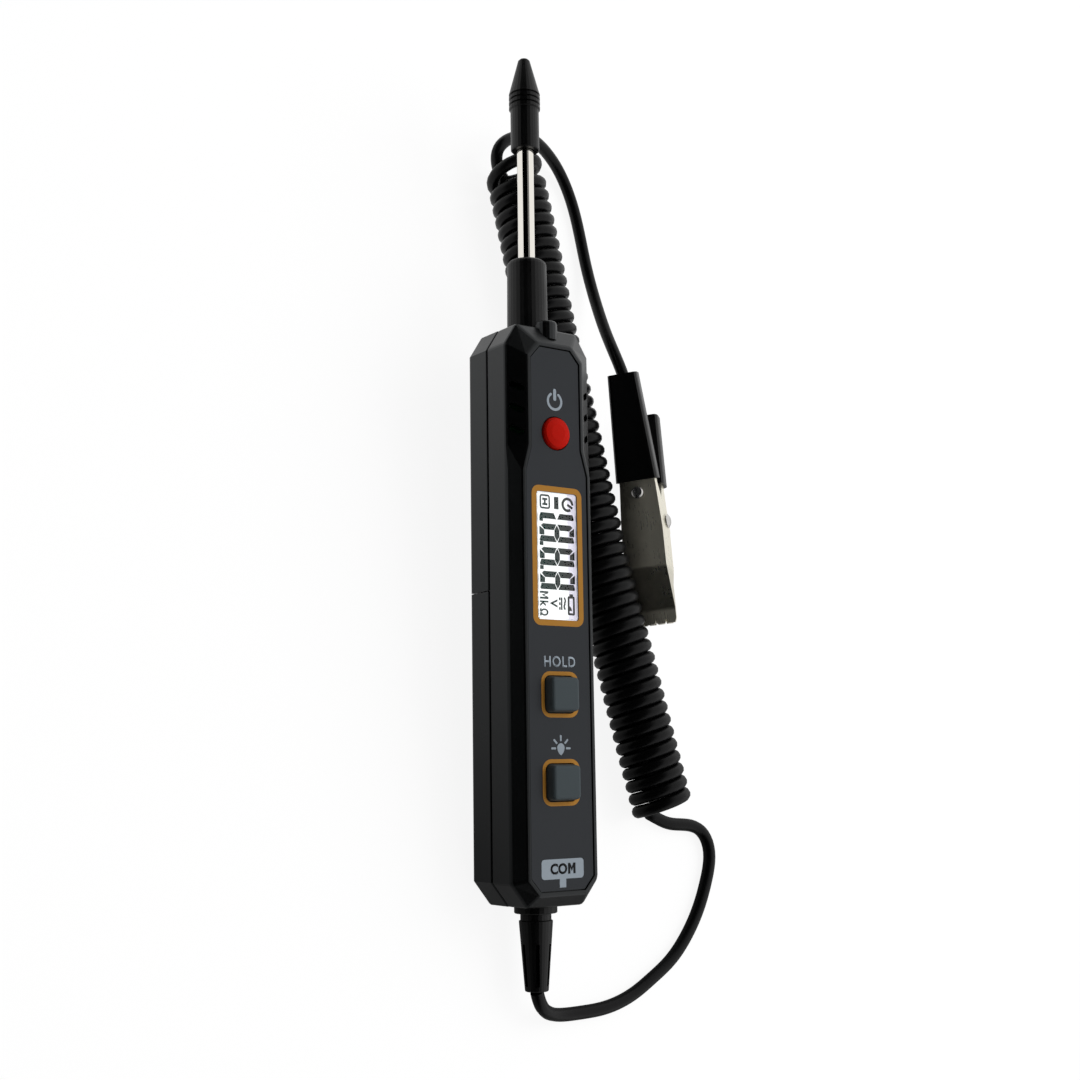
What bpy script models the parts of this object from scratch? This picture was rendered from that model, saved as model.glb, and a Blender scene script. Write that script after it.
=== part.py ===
"""Pen-type voltage tester with a curly lead and a crocodile clip.

Metres, +Z up. The tester is modelled flat in its own frame, with x to the right, y from the
tail to the probe tip and z from the back to the front. It then lies on a table, tail down,
with its head propped on its own curly lead, and the clip leans on the lead beside it.
"""
import bmesh
import bpy
from math import acos, atan2, cos, pi, radians, sin, tan
from mathutils import Matrix, Vector

MM = 0.001
GAP = 0.3 * MM                     # clearance between neighbouring pieces

# Housing
BODY_LENGTH = 158.0 * MM
WALL = 1.8 * MM
FRONT_WALL = 2.4 * MM
SEAM_DROP = 12.9 * MM              # from the front to the parting line and the probe's axis
BEVEL_DROP = 4.0 * MM              # depth of the front bevels
BACK_RADIUS = 1.3 * MM
HEAD_CORNER = (4.0 * MM, 6.3 * MM)
TAIL_CORNER = (5.2 * MM, 6.5 * MM)
COVER_SPLIT = 84.2 * MM            # from the tail to the joint of rear shell and battery cover
EDGE_ROUND = 0.6 * MM
PEG_DIAMETER = 2.4 * MM            # pegs that hold the board down
PEG_INSET = (2.4 * MM, 4.0 * MM)   # from the board's side and end

# Places along the housing, as shares of its length from the tail
LIGHT_PLACE = 0.2057
HOLD_PLACE = 0.3532
WINDOW_PLACE = 0.5905
POWER_PLACE = 0.8057
FLARE_PLACES = (0.7348, 0.7797)    # where the panel narrows towards the head

# Label panel and what shows through it
PANEL_HEAD_INSET = 6.15 * MM       # from the housing's side to the panel, at the head and at the grip
PANEL_GRIP_INSET = 4.15 * MM
PANEL_HEAD_MARGIN = 6.8 * MM
PANEL_TAIL_MARGIN = 4.5 * MM
PANEL_CORNER = (3.0 * MM, 3.4 * MM)
PANEL_THICKNESS = 0.5 * MM
PANEL_SINK = 0.3 * MM              # how far the panel lies below the rim round it
RIM_WIDTH = 1.2 * MM
WINDOW_WIDTH = 13.6 * MM
WINDOW_LENGTH = 34.9 * MM
WINDOW_CORNER = 0.8 * MM
LENS_THICKNESS = 0.4 * MM          # of the window's rim under the label

# Buttons
POWER_DIAMETER = 9.0 * MM
POWER_RISE = 1.5 * MM
POWER_ROUND = 1.2 * MM             # rounding of its rim, and how much lower the rim is than the crown
POWER_CROWN = 0.3 * MM
KEY_WIDTH = 9.6 * MM
KEY_RISE = 3.0 * MM
KEY_DRAFT = 0.3 * MM
KEY_CORNER = 1.4 * MM
KEY_ROUND = 0.8 * MM
FLANGE_LIP = 1.0 * MM
FLANGE_THICKNESS = 0.8 * MM
STEM_DIAMETER = 2.4 * MM
TRAVEL = 0.8 * MM

# Sound slots in the front bevels
SLOT_LENGTH = 4.4 * MM
SLOT_WIDTH = 1.8 * MM
SLOT_SLANT = radians(24)
SLOT_PITCH = 6.15 * MM
SLOT_COUNT = 3

# Torch
TORCH_DROP = 4.0 * MM              # from the front to its axis
TORCH_DIAMETER = 3.0 * MM
TORCH_REACH = 2.2 * MM             # how far the lamp stands out of the head
HOOD_DIAMETER = 6.2 * MM
HOOD_REACH = 1.8 * MM
HOOD_ROUND = 0.8 * MM
TORCH_LENGTH = 5.4 * MM

# Probe
ROD_DIAMETER = 4.8 * MM
ROD_REACH = 80.5 * MM              # from the head to the point
ROD_POINT = 9.0 * MM
ROD_SEAT = 9.0 * MM                # length held inside the housing
SLEEVE_DIAMETER = 11.7 * MM
SLEEVE_END_DIAMETER = 11.3 * MM
SLEEVE_LENGTH = 22.0 * MM
SLEEVE_FLANGE = 1.2 * MM           # a rim inside the housing that holds the sleeve in
SLEEVE_FLANGE_LENGTH = 2.0 * MM
SLEEVE_ROUND = 1.4 * MM
CAP_COVER = 25.0 * MM              # how much of the rod the cap covers
CAP_LENGTH = 28.3 * MM
CAP_DIAMETER = 8.3 * MM
CAP_RIB_DIAMETER = 9.1 * MM
CAP_TIP_DIAMETER = 3.8 * MM
CAP_RIB_START = 12.4 * MM
CAP_RIB_PITCH = 1.5 * MM
CAP_RIBS = 3
CAP_GROOVE = 0.45 * MM
CAP_ROUND = 1.3 * MM

# Circuit board and display
BOARD_MARGIN = 17.0 * MM           # from each end of the housing to the board
BOARD_SIDE_ROOM = 1.45 * MM
BOARD_THICKNESS = 1.2 * MM
GLASS_RIM = (1.4 * MM, 2.05 * MM)  # how far the glass reaches past the window's side and end
GLASS_THICKNESS = 2.0 * MM
LIGHT_GUIDE_THICKNESS = 2.7 * MM
STRIP_WIDTH = 1.6 * MM
SWITCH_WIDTH = 6.0 * MM
SWITCH_HEIGHT = 1.7 * MM
BUZZER_DIAMETER = 12.0 * MM
BUZZER_HEIGHT = 3.4 * MM
BUZZER_HOLE = 2.0 * MM

# Batteries
CELL_DIAMETER = 10.5 * MM
CELL_LENGTH = 44.5 * MM
CELL_ROUND = 0.4 * MM
CELL_ROOM = 0.6 * MM               # between the two cells
NUB_DIAMETER = 3.8 * MM
NUB_HEIGHT = 0.8 * MM
BOARD_ROOM = 1.4 * MM              # between the cells and the board
BAY_MARGIN = 1.2 * MM              # from the battery frame to the joint of the covers
FRAME_WALL = 0.8 * MM
FRAME_CORNER = 1.2 * MM
FRAME_LIFT = 1.5 * MM              # from the back wall's inner face up to the battery frame
FRAME_ROOM = 0.55 * MM
CONTACT_WIDTH = 7.0 * MM
CONTACT_THICKNESS = 0.4 * MM
SPRING_LENGTH = 4.2 * MM
SPRING_WIRE = 0.6 * MM
SPRING_TURNS = 3.5
SPRING_SMALL_END = 3.6 * MM        # across, from the middle of the wire
SPRING_LARGE_END = 7.0 * MM

# Screws
SCREW_SHANK = 2.2 * MM
SCREW_LENGTH = 10.0 * MM
SCREW_POINT = 1.2 * MM
SCREW_HEAD = 4.2 * MM
SCREW_HEAD_HEIGHT = 1.5 * MM
SCREW_HEAD_ROUND = 0.5 * MM
RECESS_REACH = 1.1 * MM            # cross recess: half its length, its width and its depth
RECESS_WIDTH = 0.6 * MM
RECESS_DEPTH = 0.8 * MM
SCREW_SINK = 0.4 * MM
BOSS_WALL = 1.2 * MM
SCREW_INSET = 5.45 * MM            # from the housing's side to the screw
HEAD_SCREW_MARGIN = 11.0 * MM
TAIL_SCREW_MARGIN = 11.0 * MM
TONGUE_WIDTH = 8.0 * MM
TONGUE_THICKNESS = 1.3 * MM
TONGUE_REACH = 3.6 * MM

# Strain relief
RELIEF_LENGTH = 22.5 * MM
RELIEF_COLLAR_DIAMETER = 11.7 * MM
RELIEF_COLLAR_LENGTH = 1.8 * MM
RELIEF_NECK_DIAMETER = 8.4 * MM
RELIEF_ROOT_DIAMETER = 9.2 * MM
RELIEF_END_DIAMETER = 6.4 * MM
RELIEF_FLANGE = 1.2 * MM           # a rim inside the housing that holds the relief in
RELIEF_FLANGE_LENGTH = 1.8 * MM
RELIEF_NECK_LENGTH = 1.8 * MM
RELIEF_GROOVES = 6
RELIEF_GROOVE_WIDTH = 1.0 * MM
RELIEF_GROOVE_DEPTH = 0.7 * MM
RELIEF_GROOVE_START = 8.0 * MM     # from the collar
RELIEF_GROOVE_END = 1.4 * MM       # from the thin end

# Curly lead
LEAD_DIAMETER = 3.7 * MM
COIL_DIAMETER = 18.0 * MM
COIL_CLEARANCE = 0.1 * MM
COIL_ROUTE = [(10.5, 218.0), (15.0, 191.8), (18.7, 166.5), (23.6, 140.7), (28.1, 114.5),
              (33.2, 87.6), (38.1, 66.6), (43.1, 43.7), (47.8, 22.9)]
TAIL_LEAD_ROUTE = [(0.1, -24.25, 6.95), (0.6, -26.4, 6.5), (3.4, -29.0, 4.9), (9.7, -30.6, 2.4),
                   (17.5, -30.6, 1.9), (26.5, -30.4, 1.9), (36.3, -27.9, 1.9), (43.9, -24.0, 1.9),
                   (52.4, -19.2, 1.9), (59.8, -11.9, 1.9), (65.1, -4.5, 1.9), (68.8, 3.2, 1.9),
                   (71.1, 8.9, 1.9), (70.9, 13.7, 1.9), (68.5, 17.6, 1.9), (64.7, 18.9, 1.9),
                   (59.5, 19.1, 1.9), (53.5, 19.0, 1.9), (47.5, 18.9, 1.9)]
CLIP_LEAD_ROUTE = [(2.8, 217.9, 9.4), (2.9, 220.2, 9.9), (4.3, 223.2, 10.4), (7.7, 226.6, 10.6),
                   (13.2, 229.6, 10.0), (18.9, 230.9, 8.5), (24.7, 230.1, 6.2), (31.1, 227.0, 3.9),
                   (35.9, 221.4, 2.3), (38.7, 214.0, 1.9), (40.3, 205.0, 1.9), (41.3, 196.0, 2.2),
                   (41.7, 187.6, 3.6), (41.2, 178.6, 6.6), (40.0, 169.4, 10.8), (39.0, 161.0, 15.2),
                   (39.45, 153.4, 18.05)]

# Crocodile clip, in its own frame: pivot at the origin, y to the handles, z out of its front face
CLIP_PIVOT = Vector((50.0, 108.8, 10.7)) * MM
CLIP_HEADING = radians(1.7)
CLIP_PITCH = radians(1.0)
CLIP_ROLL = radians(-54.4)
CLIP_SHEET = 0.8 * MM
CLIP_WIDTH = 12.8 * MM
CLIP_HANDLE_WIDTH = 7.2 * MM
CLIP_TAPER_START = -3.0 * MM
CLIP_TIP = -31.0 * MM
CLIP_LIP = 4.6 * MM
CLIP_NOSE = -14.0 * MM             # where the face starts to slope down to the lip
CLIP_FACE_HEIGHT = 7.0 * MM
CLIP_SHOULDER = 10.6 * MM          # where the face ends and the handle starts
CLIP_HANDLE_END = 42.5 * MM
CLIP_REAR_HANDLE_END = 33.5 * MM
CLIP_HANDLE_ANGLE = radians(9.6)
CLIP_HANDLE_DEPTH = 3.0 * MM
CLIP_EAR = 5.0 * MM
CLIP_EAR_TAPER = 0.7
CLIP_EAR_DROP = 3.0 * MM
CLIP_TEETH = 4
CLIP_TOOTH = 1.3 * MM
RIVET_DIAMETER = 2.6 * MM
RIVET_HEAD = 4.4 * MM
RIVET_HEAD_HEIGHT = 0.7 * MM
CLIP_SPRING_WIRE = 0.9 * MM
CLIP_SPRING_DIAMETER = 5.6 * MM
CLIP_SPRING_TURNS = 4
CLIP_SPRING_SPACE = 0.15 * MM
CLIP_SPRING_ARM = 4.0 * MM         # how far the arms reach past the shoulder
TERMINAL_PLACE = 8.4 * MM
TERMINAL_DIAMETER = 3.6 * MM
TERMINAL_HEAD_HEIGHT = 1.1 * MM
TERMINAL_SLOT = 0.7 * MM
GRIP_WALL = 0.8 * MM
GRIP_CORNER = 0.6 * MM
GRIP_START = 12.2 * MM
GRIP_OVERHANG = 1.8 * MM          # how far a grip covers past its handle's end

# Rest on the table
TILT = radians(5.5)

# Stack from the back to the front, which gives the housing's depth
CELL_HEIGHT = WALL + GAP + CELL_DIAMETER / 2
BOARD_BACK = CELL_HEIGHT + CELL_DIAMETER / 2 + BOARD_ROOM
BOARD_TOP = BOARD_BACK + BOARD_THICKNESS
GUIDE_TOP = BOARD_TOP + GAP + LIGHT_GUIDE_THICKNESS
GLASS_TOP = GUIDE_TOP + GAP + GLASS_THICKNESS
PANEL_FLOOR = GLASS_TOP + GAP + LENS_THICKNESS
BODY_DEPTH = PANEL_FLOOR + GAP + PANEL_THICKNESS + PANEL_SINK
INNER_FRONT = BODY_DEPTH - FRONT_WALL
SEAM_HEIGHT = BODY_DEPTH - SEAM_DROP
SIDE_HEIGHT = BODY_DEPTH - BEVEL_DROP
TORCH_HEIGHT = BODY_DEPTH - TORCH_DROP
PANEL_TOP = BODY_DEPTH - PANEL_SINK
FLANGE_TOP = INNER_FRONT - GAP

# The two cells side by side, which give the housing's width
CELL_SPACING = CELL_DIAMETER + CELL_ROOM
BAY_HALF_WIDTH = (CELL_SPACING + CELL_DIAMETER) / 2 + GAP
HALF_WIDTH = BAY_HALF_WIDTH + FRAME_WALL + FRAME_ROOM + WALL
BODY_WIDTH = 2 * HALF_WIDTH
PANEL_HEAD_WIDTH = BODY_WIDTH - 2 * PANEL_HEAD_INSET
PANEL_GRIP_WIDTH = BODY_WIDTH - 2 * PANEL_GRIP_INSET
BOARD_WIDTH = BODY_WIDTH - 2 * (WALL + BOARD_SIDE_ROOM)

# Places and lengths along the housing
LIGHT_MIDDLE = LIGHT_PLACE * BODY_LENGTH
HOLD_MIDDLE = HOLD_PLACE * BODY_LENGTH
WINDOW_MIDDLE = WINDOW_PLACE * BODY_LENGTH
POWER_MIDDLE = POWER_PLACE * BODY_LENGTH
FLARE = [place * BODY_LENGTH for place in FLARE_PLACES]
BAY_LENGTH = CONTACT_THICKNESS + CELL_LENGTH + SPRING_LENGTH + 4 * GAP
BAY_HEAD = COVER_SPLIT - BAY_MARGIN - FRAME_WALL
BAY_TAIL = BAY_HEAD - BAY_LENGTH
GLASS_WIDTH = WINDOW_WIDTH + 2 * GLASS_RIM[0]
GLASS_LENGTH = WINDOW_LENGTH + 2 * GLASS_RIM[1]
BORE_GAP = 2 * GAP
CAP_START = ROD_REACH - CAP_COVER  # from the head to the cap's open end
CAP_END = BODY_LENGTH + CAP_START + CAP_LENGTH
PIVOT_TO_AXIS = SEAM_HEIGHT - BACK_RADIUS
TIP_REACH = (CAP_END - BACK_RADIUS) * cos(TILT) - (PIVOT_TO_AXIS - CAP_TIP_DIAMETER / 4) * sin(TILT)
TAIL_REACH = (RELIEF_LENGTH + BACK_RADIUS) * cos(TILT) + (PIVOT_TO_AXIS + RELIEF_END_DIAMETER / 2) * sin(TILT)
TABLE_SHIFT = -(BACK_RADIUS + (TIP_REACH - TAIL_REACH) / 2)


def clear_scene():
    for old in list(bpy.data.objects):
        bpy.data.objects.remove(old, do_unlink=True)


def finish(name, colour, roughness, metallic=0.0):
    """One Principled material for one kind of surface."""
    material = bpy.data.materials.get(name)
    if material is None:
        material = bpy.data.materials.new(name)
        material.use_nodes = True
        shader = material.node_tree.nodes["Principled BSDF"]
        shader.inputs["Base Color"].default_value = (*colour, 1.0)
        shader.inputs["Roughness"].default_value = roughness
        shader.inputs["Metallic"].default_value = metallic
    return material


def add_frame(name, parent=None, matrix=Matrix()):
    """An empty that carries pieces."""
    empty = bpy.data.objects.new(name, None)
    bpy.context.collection.objects.link(empty)
    empty.parent = parent
    empty.matrix_local = matrix
    return empty


def add_solid(name, bm, parent, material=None, at=(0.0, 0.0, 0.0), round_angle=None):
    """Turns a bmesh into a named object. Without a material it is a cutter or a guide."""
    bmesh.ops.recalc_face_normals(bm, faces=bm.faces)
    mesh = bpy.data.meshes.new(name)
    bm.to_mesh(mesh)
    bm.free()
    piece = bpy.data.objects.new(name, mesh)
    bpy.context.collection.objects.link(piece)
    piece.parent = parent
    piece.location = at
    if material:
        mesh.materials.append(material)
    else:
        piece.hide_render = True
        piece.display_type = "WIRE"
    if round_angle:
        mesh.shade_smooth()
        mesh.set_sharp_from_angle(angle=round_angle)
    return piece


def combine(piece, tool, operation):
    """Cuts a tool from a piece, or joins it on, with a live Boolean."""
    boolean = piece.modifiers.new(tool.name, "BOOLEAN")
    boolean.object = tool
    boolean.operation = operation
    boolean.solver = "EXACT"


def soften(piece, width, segments=2, angle=radians(22)):
    bevel = piece.modifiers.new("edge_round", "BEVEL")
    bevel.width = width
    bevel.segments = segments
    bevel.limit_method = "ANGLE"
    bevel.angle_limit = angle


def inset(outline, distance):
    """Moves every side of a closed outline inwards. The outline runs anticlockwise."""
    moved = []
    for i, point in enumerate(outline):
        before, after = outline[i - 1], outline[(i + 1) % len(outline)]
        first, second = (point - before).normalized(), (after - point).normalized()
        normals = Vector((-first.y, first.x)), Vector((-second.y, second.x))
        moved.append(point + (normals[0] + normals[1]) * distance / (1 + normals[0].dot(normals[1])))
    return moved


def cut_corners(tail_half, head_half, tail, head, tail_corner, head_corner, marks):
    """An outline with cut corners. Its sides turn at the marks, where it may change its width."""
    low = [(tail_half - tail_corner[0], tail), (tail_half, tail + tail_corner[1])]
    low += [(tail_half, mark) for mark in marks[:1]]
    high = [(head_half, mark) for mark in marks[1:]]
    high += [(head_half, head - head_corner[1]), (head_half - head_corner[0], head)]
    right = low + high
    left = [(-x, y) for x, y in reversed(right)]
    return [Vector(point) for point in right + left]


def body_outline(marks=()):
    return cut_corners(HALF_WIDTH, HALF_WIDTH, 0.0, BODY_LENGTH, TAIL_CORNER, HEAD_CORNER, marks)


def panel_outline():
    return cut_corners(PANEL_GRIP_WIDTH / 2, PANEL_HEAD_WIDTH / 2, PANEL_TAIL_MARGIN,
                       BODY_LENGTH - PANEL_HEAD_MARGIN, PANEL_CORNER, PANEL_CORNER, FLARE)


def front_outline():
    return inset(panel_outline(), -RIM_WIDTH)


def rounded_rectangle(width, length, radius, middle=(0.0, 0.0), steps=4):
    corners = [(1, -1, -pi / 2), (1, 1, 0.0), (-1, 1, pi / 2), (-1, -1, pi)]
    outline = []
    for side_x, side_y, start in corners:
        centre = Vector((side_x * (width / 2 - radius), side_y * (length / 2 - radius)))
        for i in range(steps + 1):
            angle = start + pi / 2 * i / steps
            outline.append(centre + Vector(middle) + radius * Vector((cos(angle), sin(angle))))
    return outline


def loft(bm, rings):
    """A closed solid through flat rings, each an outline and its height."""
    layers = [[bm.verts.new((point.x, point.y, height)) for point in outline] for outline, height in rings]
    for lower, upper in zip(layers, layers[1:]):
        for i in range(len(lower)):
            j = (i + 1) % len(lower)
            bm.faces.new((lower[i], lower[j], upper[j], upper[i]))
    bm.faces.new(layers[0][::-1])
    bm.faces.new(layers[-1])
    return [vert for layer in layers for vert in layer]


def prism(bm, outline, low, high):
    return loft(bm, [(outline, low), (outline, high)])


def box(bm, x_range, y_range, z_range):
    (x0, x1), (y0, y1), (z0, z1) = x_range, y_range, z_range
    outline = [Vector(point) for point in ((x0, y0), (x1, y0), (x1, y1), (x0, y1))]
    return prism(bm, outline, z0, z1)


def rounded_rim(radius, top, rounding):
    """The rounded edge of a turned profile, from its side to its end face."""
    angles = [pi / 2 * i / 3 for i in range(4)]
    return [(radius - rounding * (1 - cos(a)), top - rounding * (1 - sin(a))) for a in angles]


def turned(bm, profile, steps=32, centre=(0.0, 0.0, 0.0), along="Y"):
    """A solid of revolution. The profile is (radius, place along the axis), from axis to axis."""
    others = set(bm.verts)
    points = [bm.verts.new((radius, 0.0, place)) for radius, place in profile]
    edges = [bm.edges.new(pair) for pair in zip(points, points[1:]) if pair[0].co.x or pair[1].co.x]
    bmesh.ops.spin(bm, geom=points + edges, cent=(0, 0, 0), axis=(0, 0, 1), angle=2 * pi,
                   steps=steps, use_merge=True)
    spun = [vert for vert in bm.verts if vert not in others]
    bmesh.ops.remove_doubles(bm, verts=spun, dist=1e-7)
    verts = [vert for vert in bm.verts if vert not in others]
    turn = Matrix.Rotation(-pi / 2, 3, "X") if along == "Y" else Matrix.Identity(3)
    bmesh.ops.transform(bm, matrix=Matrix.Translation(centre) @ turn.to_4x4(), verts=verts)
    return verts


def cylinder(bm, radius, low, high, centre=(0.0, 0.0, 0.0), along="Z", steps=24):
    return turned(bm, [(0.0, low), (radius, low), (radius, high), (0.0, high)], steps, centre, along)


def smooth_route(points, step):
    """Even points along a smooth curve through a route's own points."""
    knots = [Vector(point) for point in points]
    knots = [2 * knots[0] - knots[1]] + knots + [2 * knots[-1] - knots[-2]]
    fine = []
    for a, b, c, d in zip(knots, knots[1:], knots[2:], knots[3:]):
        for i in range(12):
            t = i / 12
            fine.append(0.5 * (2 * b + (c - a) * t + (2 * a - 5 * b + 4 * c - d) * t ** 2
                               + (3 * b - a - 3 * c + d) * t ** 3))
    fine.append(knots[-2])
    lengths = [0.0]
    for a, b in zip(fine, fine[1:]):
        lengths.append(lengths[-1] + (b - a).length)
    count = max(2, round(lengths[-1] / step))
    even = []
    for i in range(count + 1):
        goal = lengths[-1] * i / count
        j = max(k for k in range(len(fine) - 1) if lengths[k] <= goal or k == 0)
        share = (goal - lengths[j]) / (lengths[j + 1] - lengths[j])
        even.append(fine[j].lerp(fine[j + 1], share))
    return even


def add_tube(name, points, diameter, resolution, parent, material):
    """A round cord or wire as a curve with filled ends."""
    curve = bpy.data.curves.new(name, "CURVE")
    curve.dimensions = "3D"
    curve.bevel_depth = diameter / 2
    curve.bevel_resolution = resolution
    curve.use_fill_caps = True
    spline = curve.splines.new("POLY")
    spline.points.add(len(points) - 1)
    for target, point in zip(spline.points, points):
        target.co = (*point, 1.0)
    curve.materials.append(material)
    tube = bpy.data.objects.new(name, curve)
    bpy.context.collection.objects.link(tube)
    tube.parent = parent
    return tube


def key_outline(extra=0.0, middle=0.0):
    width = KEY_WIDTH + 2 * extra
    return rounded_rectangle(width, width, KEY_CORNER + max(extra, -KEY_CORNER / 2), (0.0, middle))


def key_places():
    return {"hold": HOLD_MIDDLE, "light": LIGHT_MIDDLE}


def screw_places():
    """Each screw's x and y: two at the head, two at the tail."""
    places = {}
    reach = HALF_WIDTH - SCREW_INSET
    for side, x in (("left", -reach), ("right", reach)):
        places["case_screw_" + side] = (x, BODY_LENGTH - HEAD_SCREW_MARGIN)
        places["cover_screw_" + side] = (x, TAIL_SCREW_MARGIN)
    return places


def back_rings(outline, inner=0.0):
    """Rings of the rear half, rounded at the back. inner is the wall left round a cavity."""
    radius = max(BACK_RADIUS - inner, GAP)
    rings = []
    for i in range(4):
        angle = pi / 2 * i / 3
        rings.append((inset(outline, inner + radius * (1 - sin(angle))), inner + radius * (1 - cos(angle))))
    return rings


def add_sockets(bm):
    """Bores in both ends of the housing that grip the probe's sleeve and the strain relief."""
    neck = SLEEVE_END_DIAMETER / 2 - SLEEVE_FLANGE + GAP
    cylinder(bm, neck, BODY_LENGTH - 2 * WALL, BODY_LENGTH + WALL, (0.0, 0.0, SEAM_HEIGHT), "Y", 32)
    neck = RELIEF_NECK_DIAMETER / 2 + GAP
    cylinder(bm, neck, -WALL, 2 * WALL, (0.0, 0.0, SEAM_HEIGHT), "Y", 32)


def front_shell(tester, plastic):
    """Upper half of the housing: bevelled box, open at the seam, with all the openings."""
    bm = bmesh.new()
    outside = body_outline(FLARE)
    loft(bm, [(outside, SEAM_HEIGHT + GAP / 2), (outside, SIDE_HEIGHT), (front_outline(), BODY_DEPTH)])
    shell = add_solid("front_shell", bm, tester, plastic)
    soften(shell, EDGE_ROUND)

    bm = bmesh.new()
    inside = inset(outside, WALL)
    loft(bm, [(inside, SEAM_HEIGHT - WALL), (inside, SIDE_HEIGHT - WALL / 4), (front_outline(), INNER_FRONT)])
    combine(shell, add_solid("front_cavity", bm, tester), "DIFFERENCE")

    bm = bmesh.new()
    sink = FRONT_WALL / 4
    for x, y in screw_places().values():
        cylinder(bm, SCREW_SHANK / 2 + GAP + BOSS_WALL, SEAM_HEIGHT + GAP, INNER_FRONT + sink, (x, y, 0.0))
    peg_x, peg_margin = BOARD_WIDTH / 2 - PEG_INSET[0], BOARD_MARGIN + PEG_INSET[1]
    for x in (-peg_x, peg_x):
        for y in (peg_margin, BODY_LENGTH - peg_margin):
            cylinder(bm, PEG_DIAMETER / 2, BOARD_TOP + GAP, INNER_FRONT + sink, (x, y, 0.0), steps=12)
    combine(shell, add_solid("front_bosses", bm, tester), "UNION")

    bm = bmesh.new()
    hood_low = BODY_LENGTH - 2 * WALL
    hood_end = BODY_LENGTH + HOOD_REACH
    hood = HOOD_DIAMETER / 2
    profile = [(0.0, hood_low), (hood, hood_low)] + rounded_rim(hood, hood_end, HOOD_ROUND) + [(0.0, hood_end)]
    turned(bm, profile, 20, (0.0, 0.0, TORCH_HEIGHT))
    combine(shell, add_solid("torch_hood", bm, tester), "UNION")

    bm = bmesh.new()
    prism(bm, inset(panel_outline(), -GAP), PANEL_FLOOR, BODY_DEPTH + WALL)
    combine(shell, add_solid("panel_recess", bm, tester), "DIFFERENCE")

    bm = bmesh.new()
    low, high = INNER_FRONT - WALL, BODY_DEPTH
    window = rounded_rectangle(GLASS_WIDTH + 2 * GAP, GLASS_LENGTH + 2 * GAP, GAP, (0.0, WINDOW_MIDDLE), 1)
    prism(bm, window, low, high)
    cylinder(bm, POWER_DIAMETER / 2 + GAP, low, high, (0.0, POWER_MIDDLE, 0.0), steps=32)
    for middle in key_places().values():
        prism(bm, key_outline(GAP, middle), low, high)
    for x, y in screw_places().values():
        cylinder(bm, SCREW_SHANK / 2 + GAP, 0.0, SCREW_LENGTH + SCREW_POINT + GAP, (x, y, 0.0), steps=16)
    place = (0.0, 0.0, TORCH_HEIGHT)
    cylinder(bm, TORCH_DIAMETER / 2 + GAP, hood_low - WALL, hood_end + WALL, place, "Y", 20)
    add_sockets(bm)
    sound_slots(bm)
    combine(shell, add_solid("front_holes", bm, tester), "DIFFERENCE")


def sound_slots(bm):
    """Slanted slots through both front bevels at the head, where the buzzer sits."""
    head_half = PANEL_HEAD_WIDTH / 2 + RIM_WIDTH
    run, rise = HALF_WIDTH - head_half, BODY_DEPTH - SIDE_HEIGHT
    slope = Vector((-run, 0.0, rise)).normalized()
    normal = Vector((rise, 0.0, run)).normalized()
    middle = Vector(((HALF_WIDTH + head_half) / 2, 0.0, (BODY_DEPTH + SIDE_HEIGHT) / 2))
    for side in (-1, 1):
        for i in range(SLOT_COUNT):
            outline = rounded_rectangle(SLOT_LENGTH, SLOT_WIDTH, 0.495 * SLOT_WIDTH)
            verts = prism(bm, outline, -2.2 * WALL, WALL)
            across = Matrix((slope, Vector((0.0, 1.0, 0.0)), normal)).transposed()
            turn = across @ Matrix.Rotation(-SLOT_SLANT, 3, "Z")
            place = middle + Vector((0.0, POWER_MIDDLE + i * SLOT_PITCH, 0.0))
            matrix = Matrix.Scale(side, 4, (1.0, 0.0, 0.0)) @ Matrix.Translation(place) @ turn.to_4x4()
            bmesh.ops.transform(bm, matrix=matrix, verts=verts)


def rear_half(name, tester, plastic, away):
    """A tray with a rounded back. away is the stretch of the length that it leaves to its neighbour."""
    bm = bmesh.new()
    loft(bm, back_rings(body_outline()) + [(body_outline(), SEAM_HEIGHT - GAP / 2)])
    tray = add_solid(name, bm, tester, plastic)
    soften(tray, EDGE_ROUND / 2, angle=radians(40))
    bm = bmesh.new()
    inside = inset(body_outline(), WALL)
    loft(bm, back_rings(body_outline(), WALL) + [(inside, SEAM_HEIGHT + WALL)])
    combine(tray, add_solid(name + "_cavity", bm, tester), "DIFFERENCE")
    bm = bmesh.new()
    box(bm, (-BODY_WIDTH, BODY_WIDTH), away, (-WALL, BODY_DEPTH))
    combine(tray, add_solid(name + "_split", bm, tester), "DIFFERENCE")
    return tray


def add_rear_bosses(tray, name, tester, prefix):
    """Screw columns with counterbores from the back."""
    bm = bmesh.new()
    holes = bmesh.new()
    for screw, (x, y) in screw_places().items():
        if screw.startswith(prefix):
            cylinder(bm, SCREW_HEAD / 2 + GAP + BOSS_WALL / 2, WALL / 2, SEAM_HEIGHT - GAP, (x, y, 0.0))
            bore, counterbore = SCREW_SHANK / 2 + GAP, SCREW_HEAD / 2 + GAP
            seat = SCREW_SINK + SCREW_HEAD_HEIGHT + GAP
            turned(holes, [(0.0, -WALL), (counterbore, -WALL), (counterbore, seat), (bore, seat),
                           (bore, BODY_DEPTH), (0.0, BODY_DEPTH)], 20, (x, y, 0.0), "Z")
    combine(tray, add_solid(name + "_bosses", bm, tester), "UNION")
    combine(tray, add_solid(name + "_screw_holes", holes, tester), "DIFFERENCE")


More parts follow.
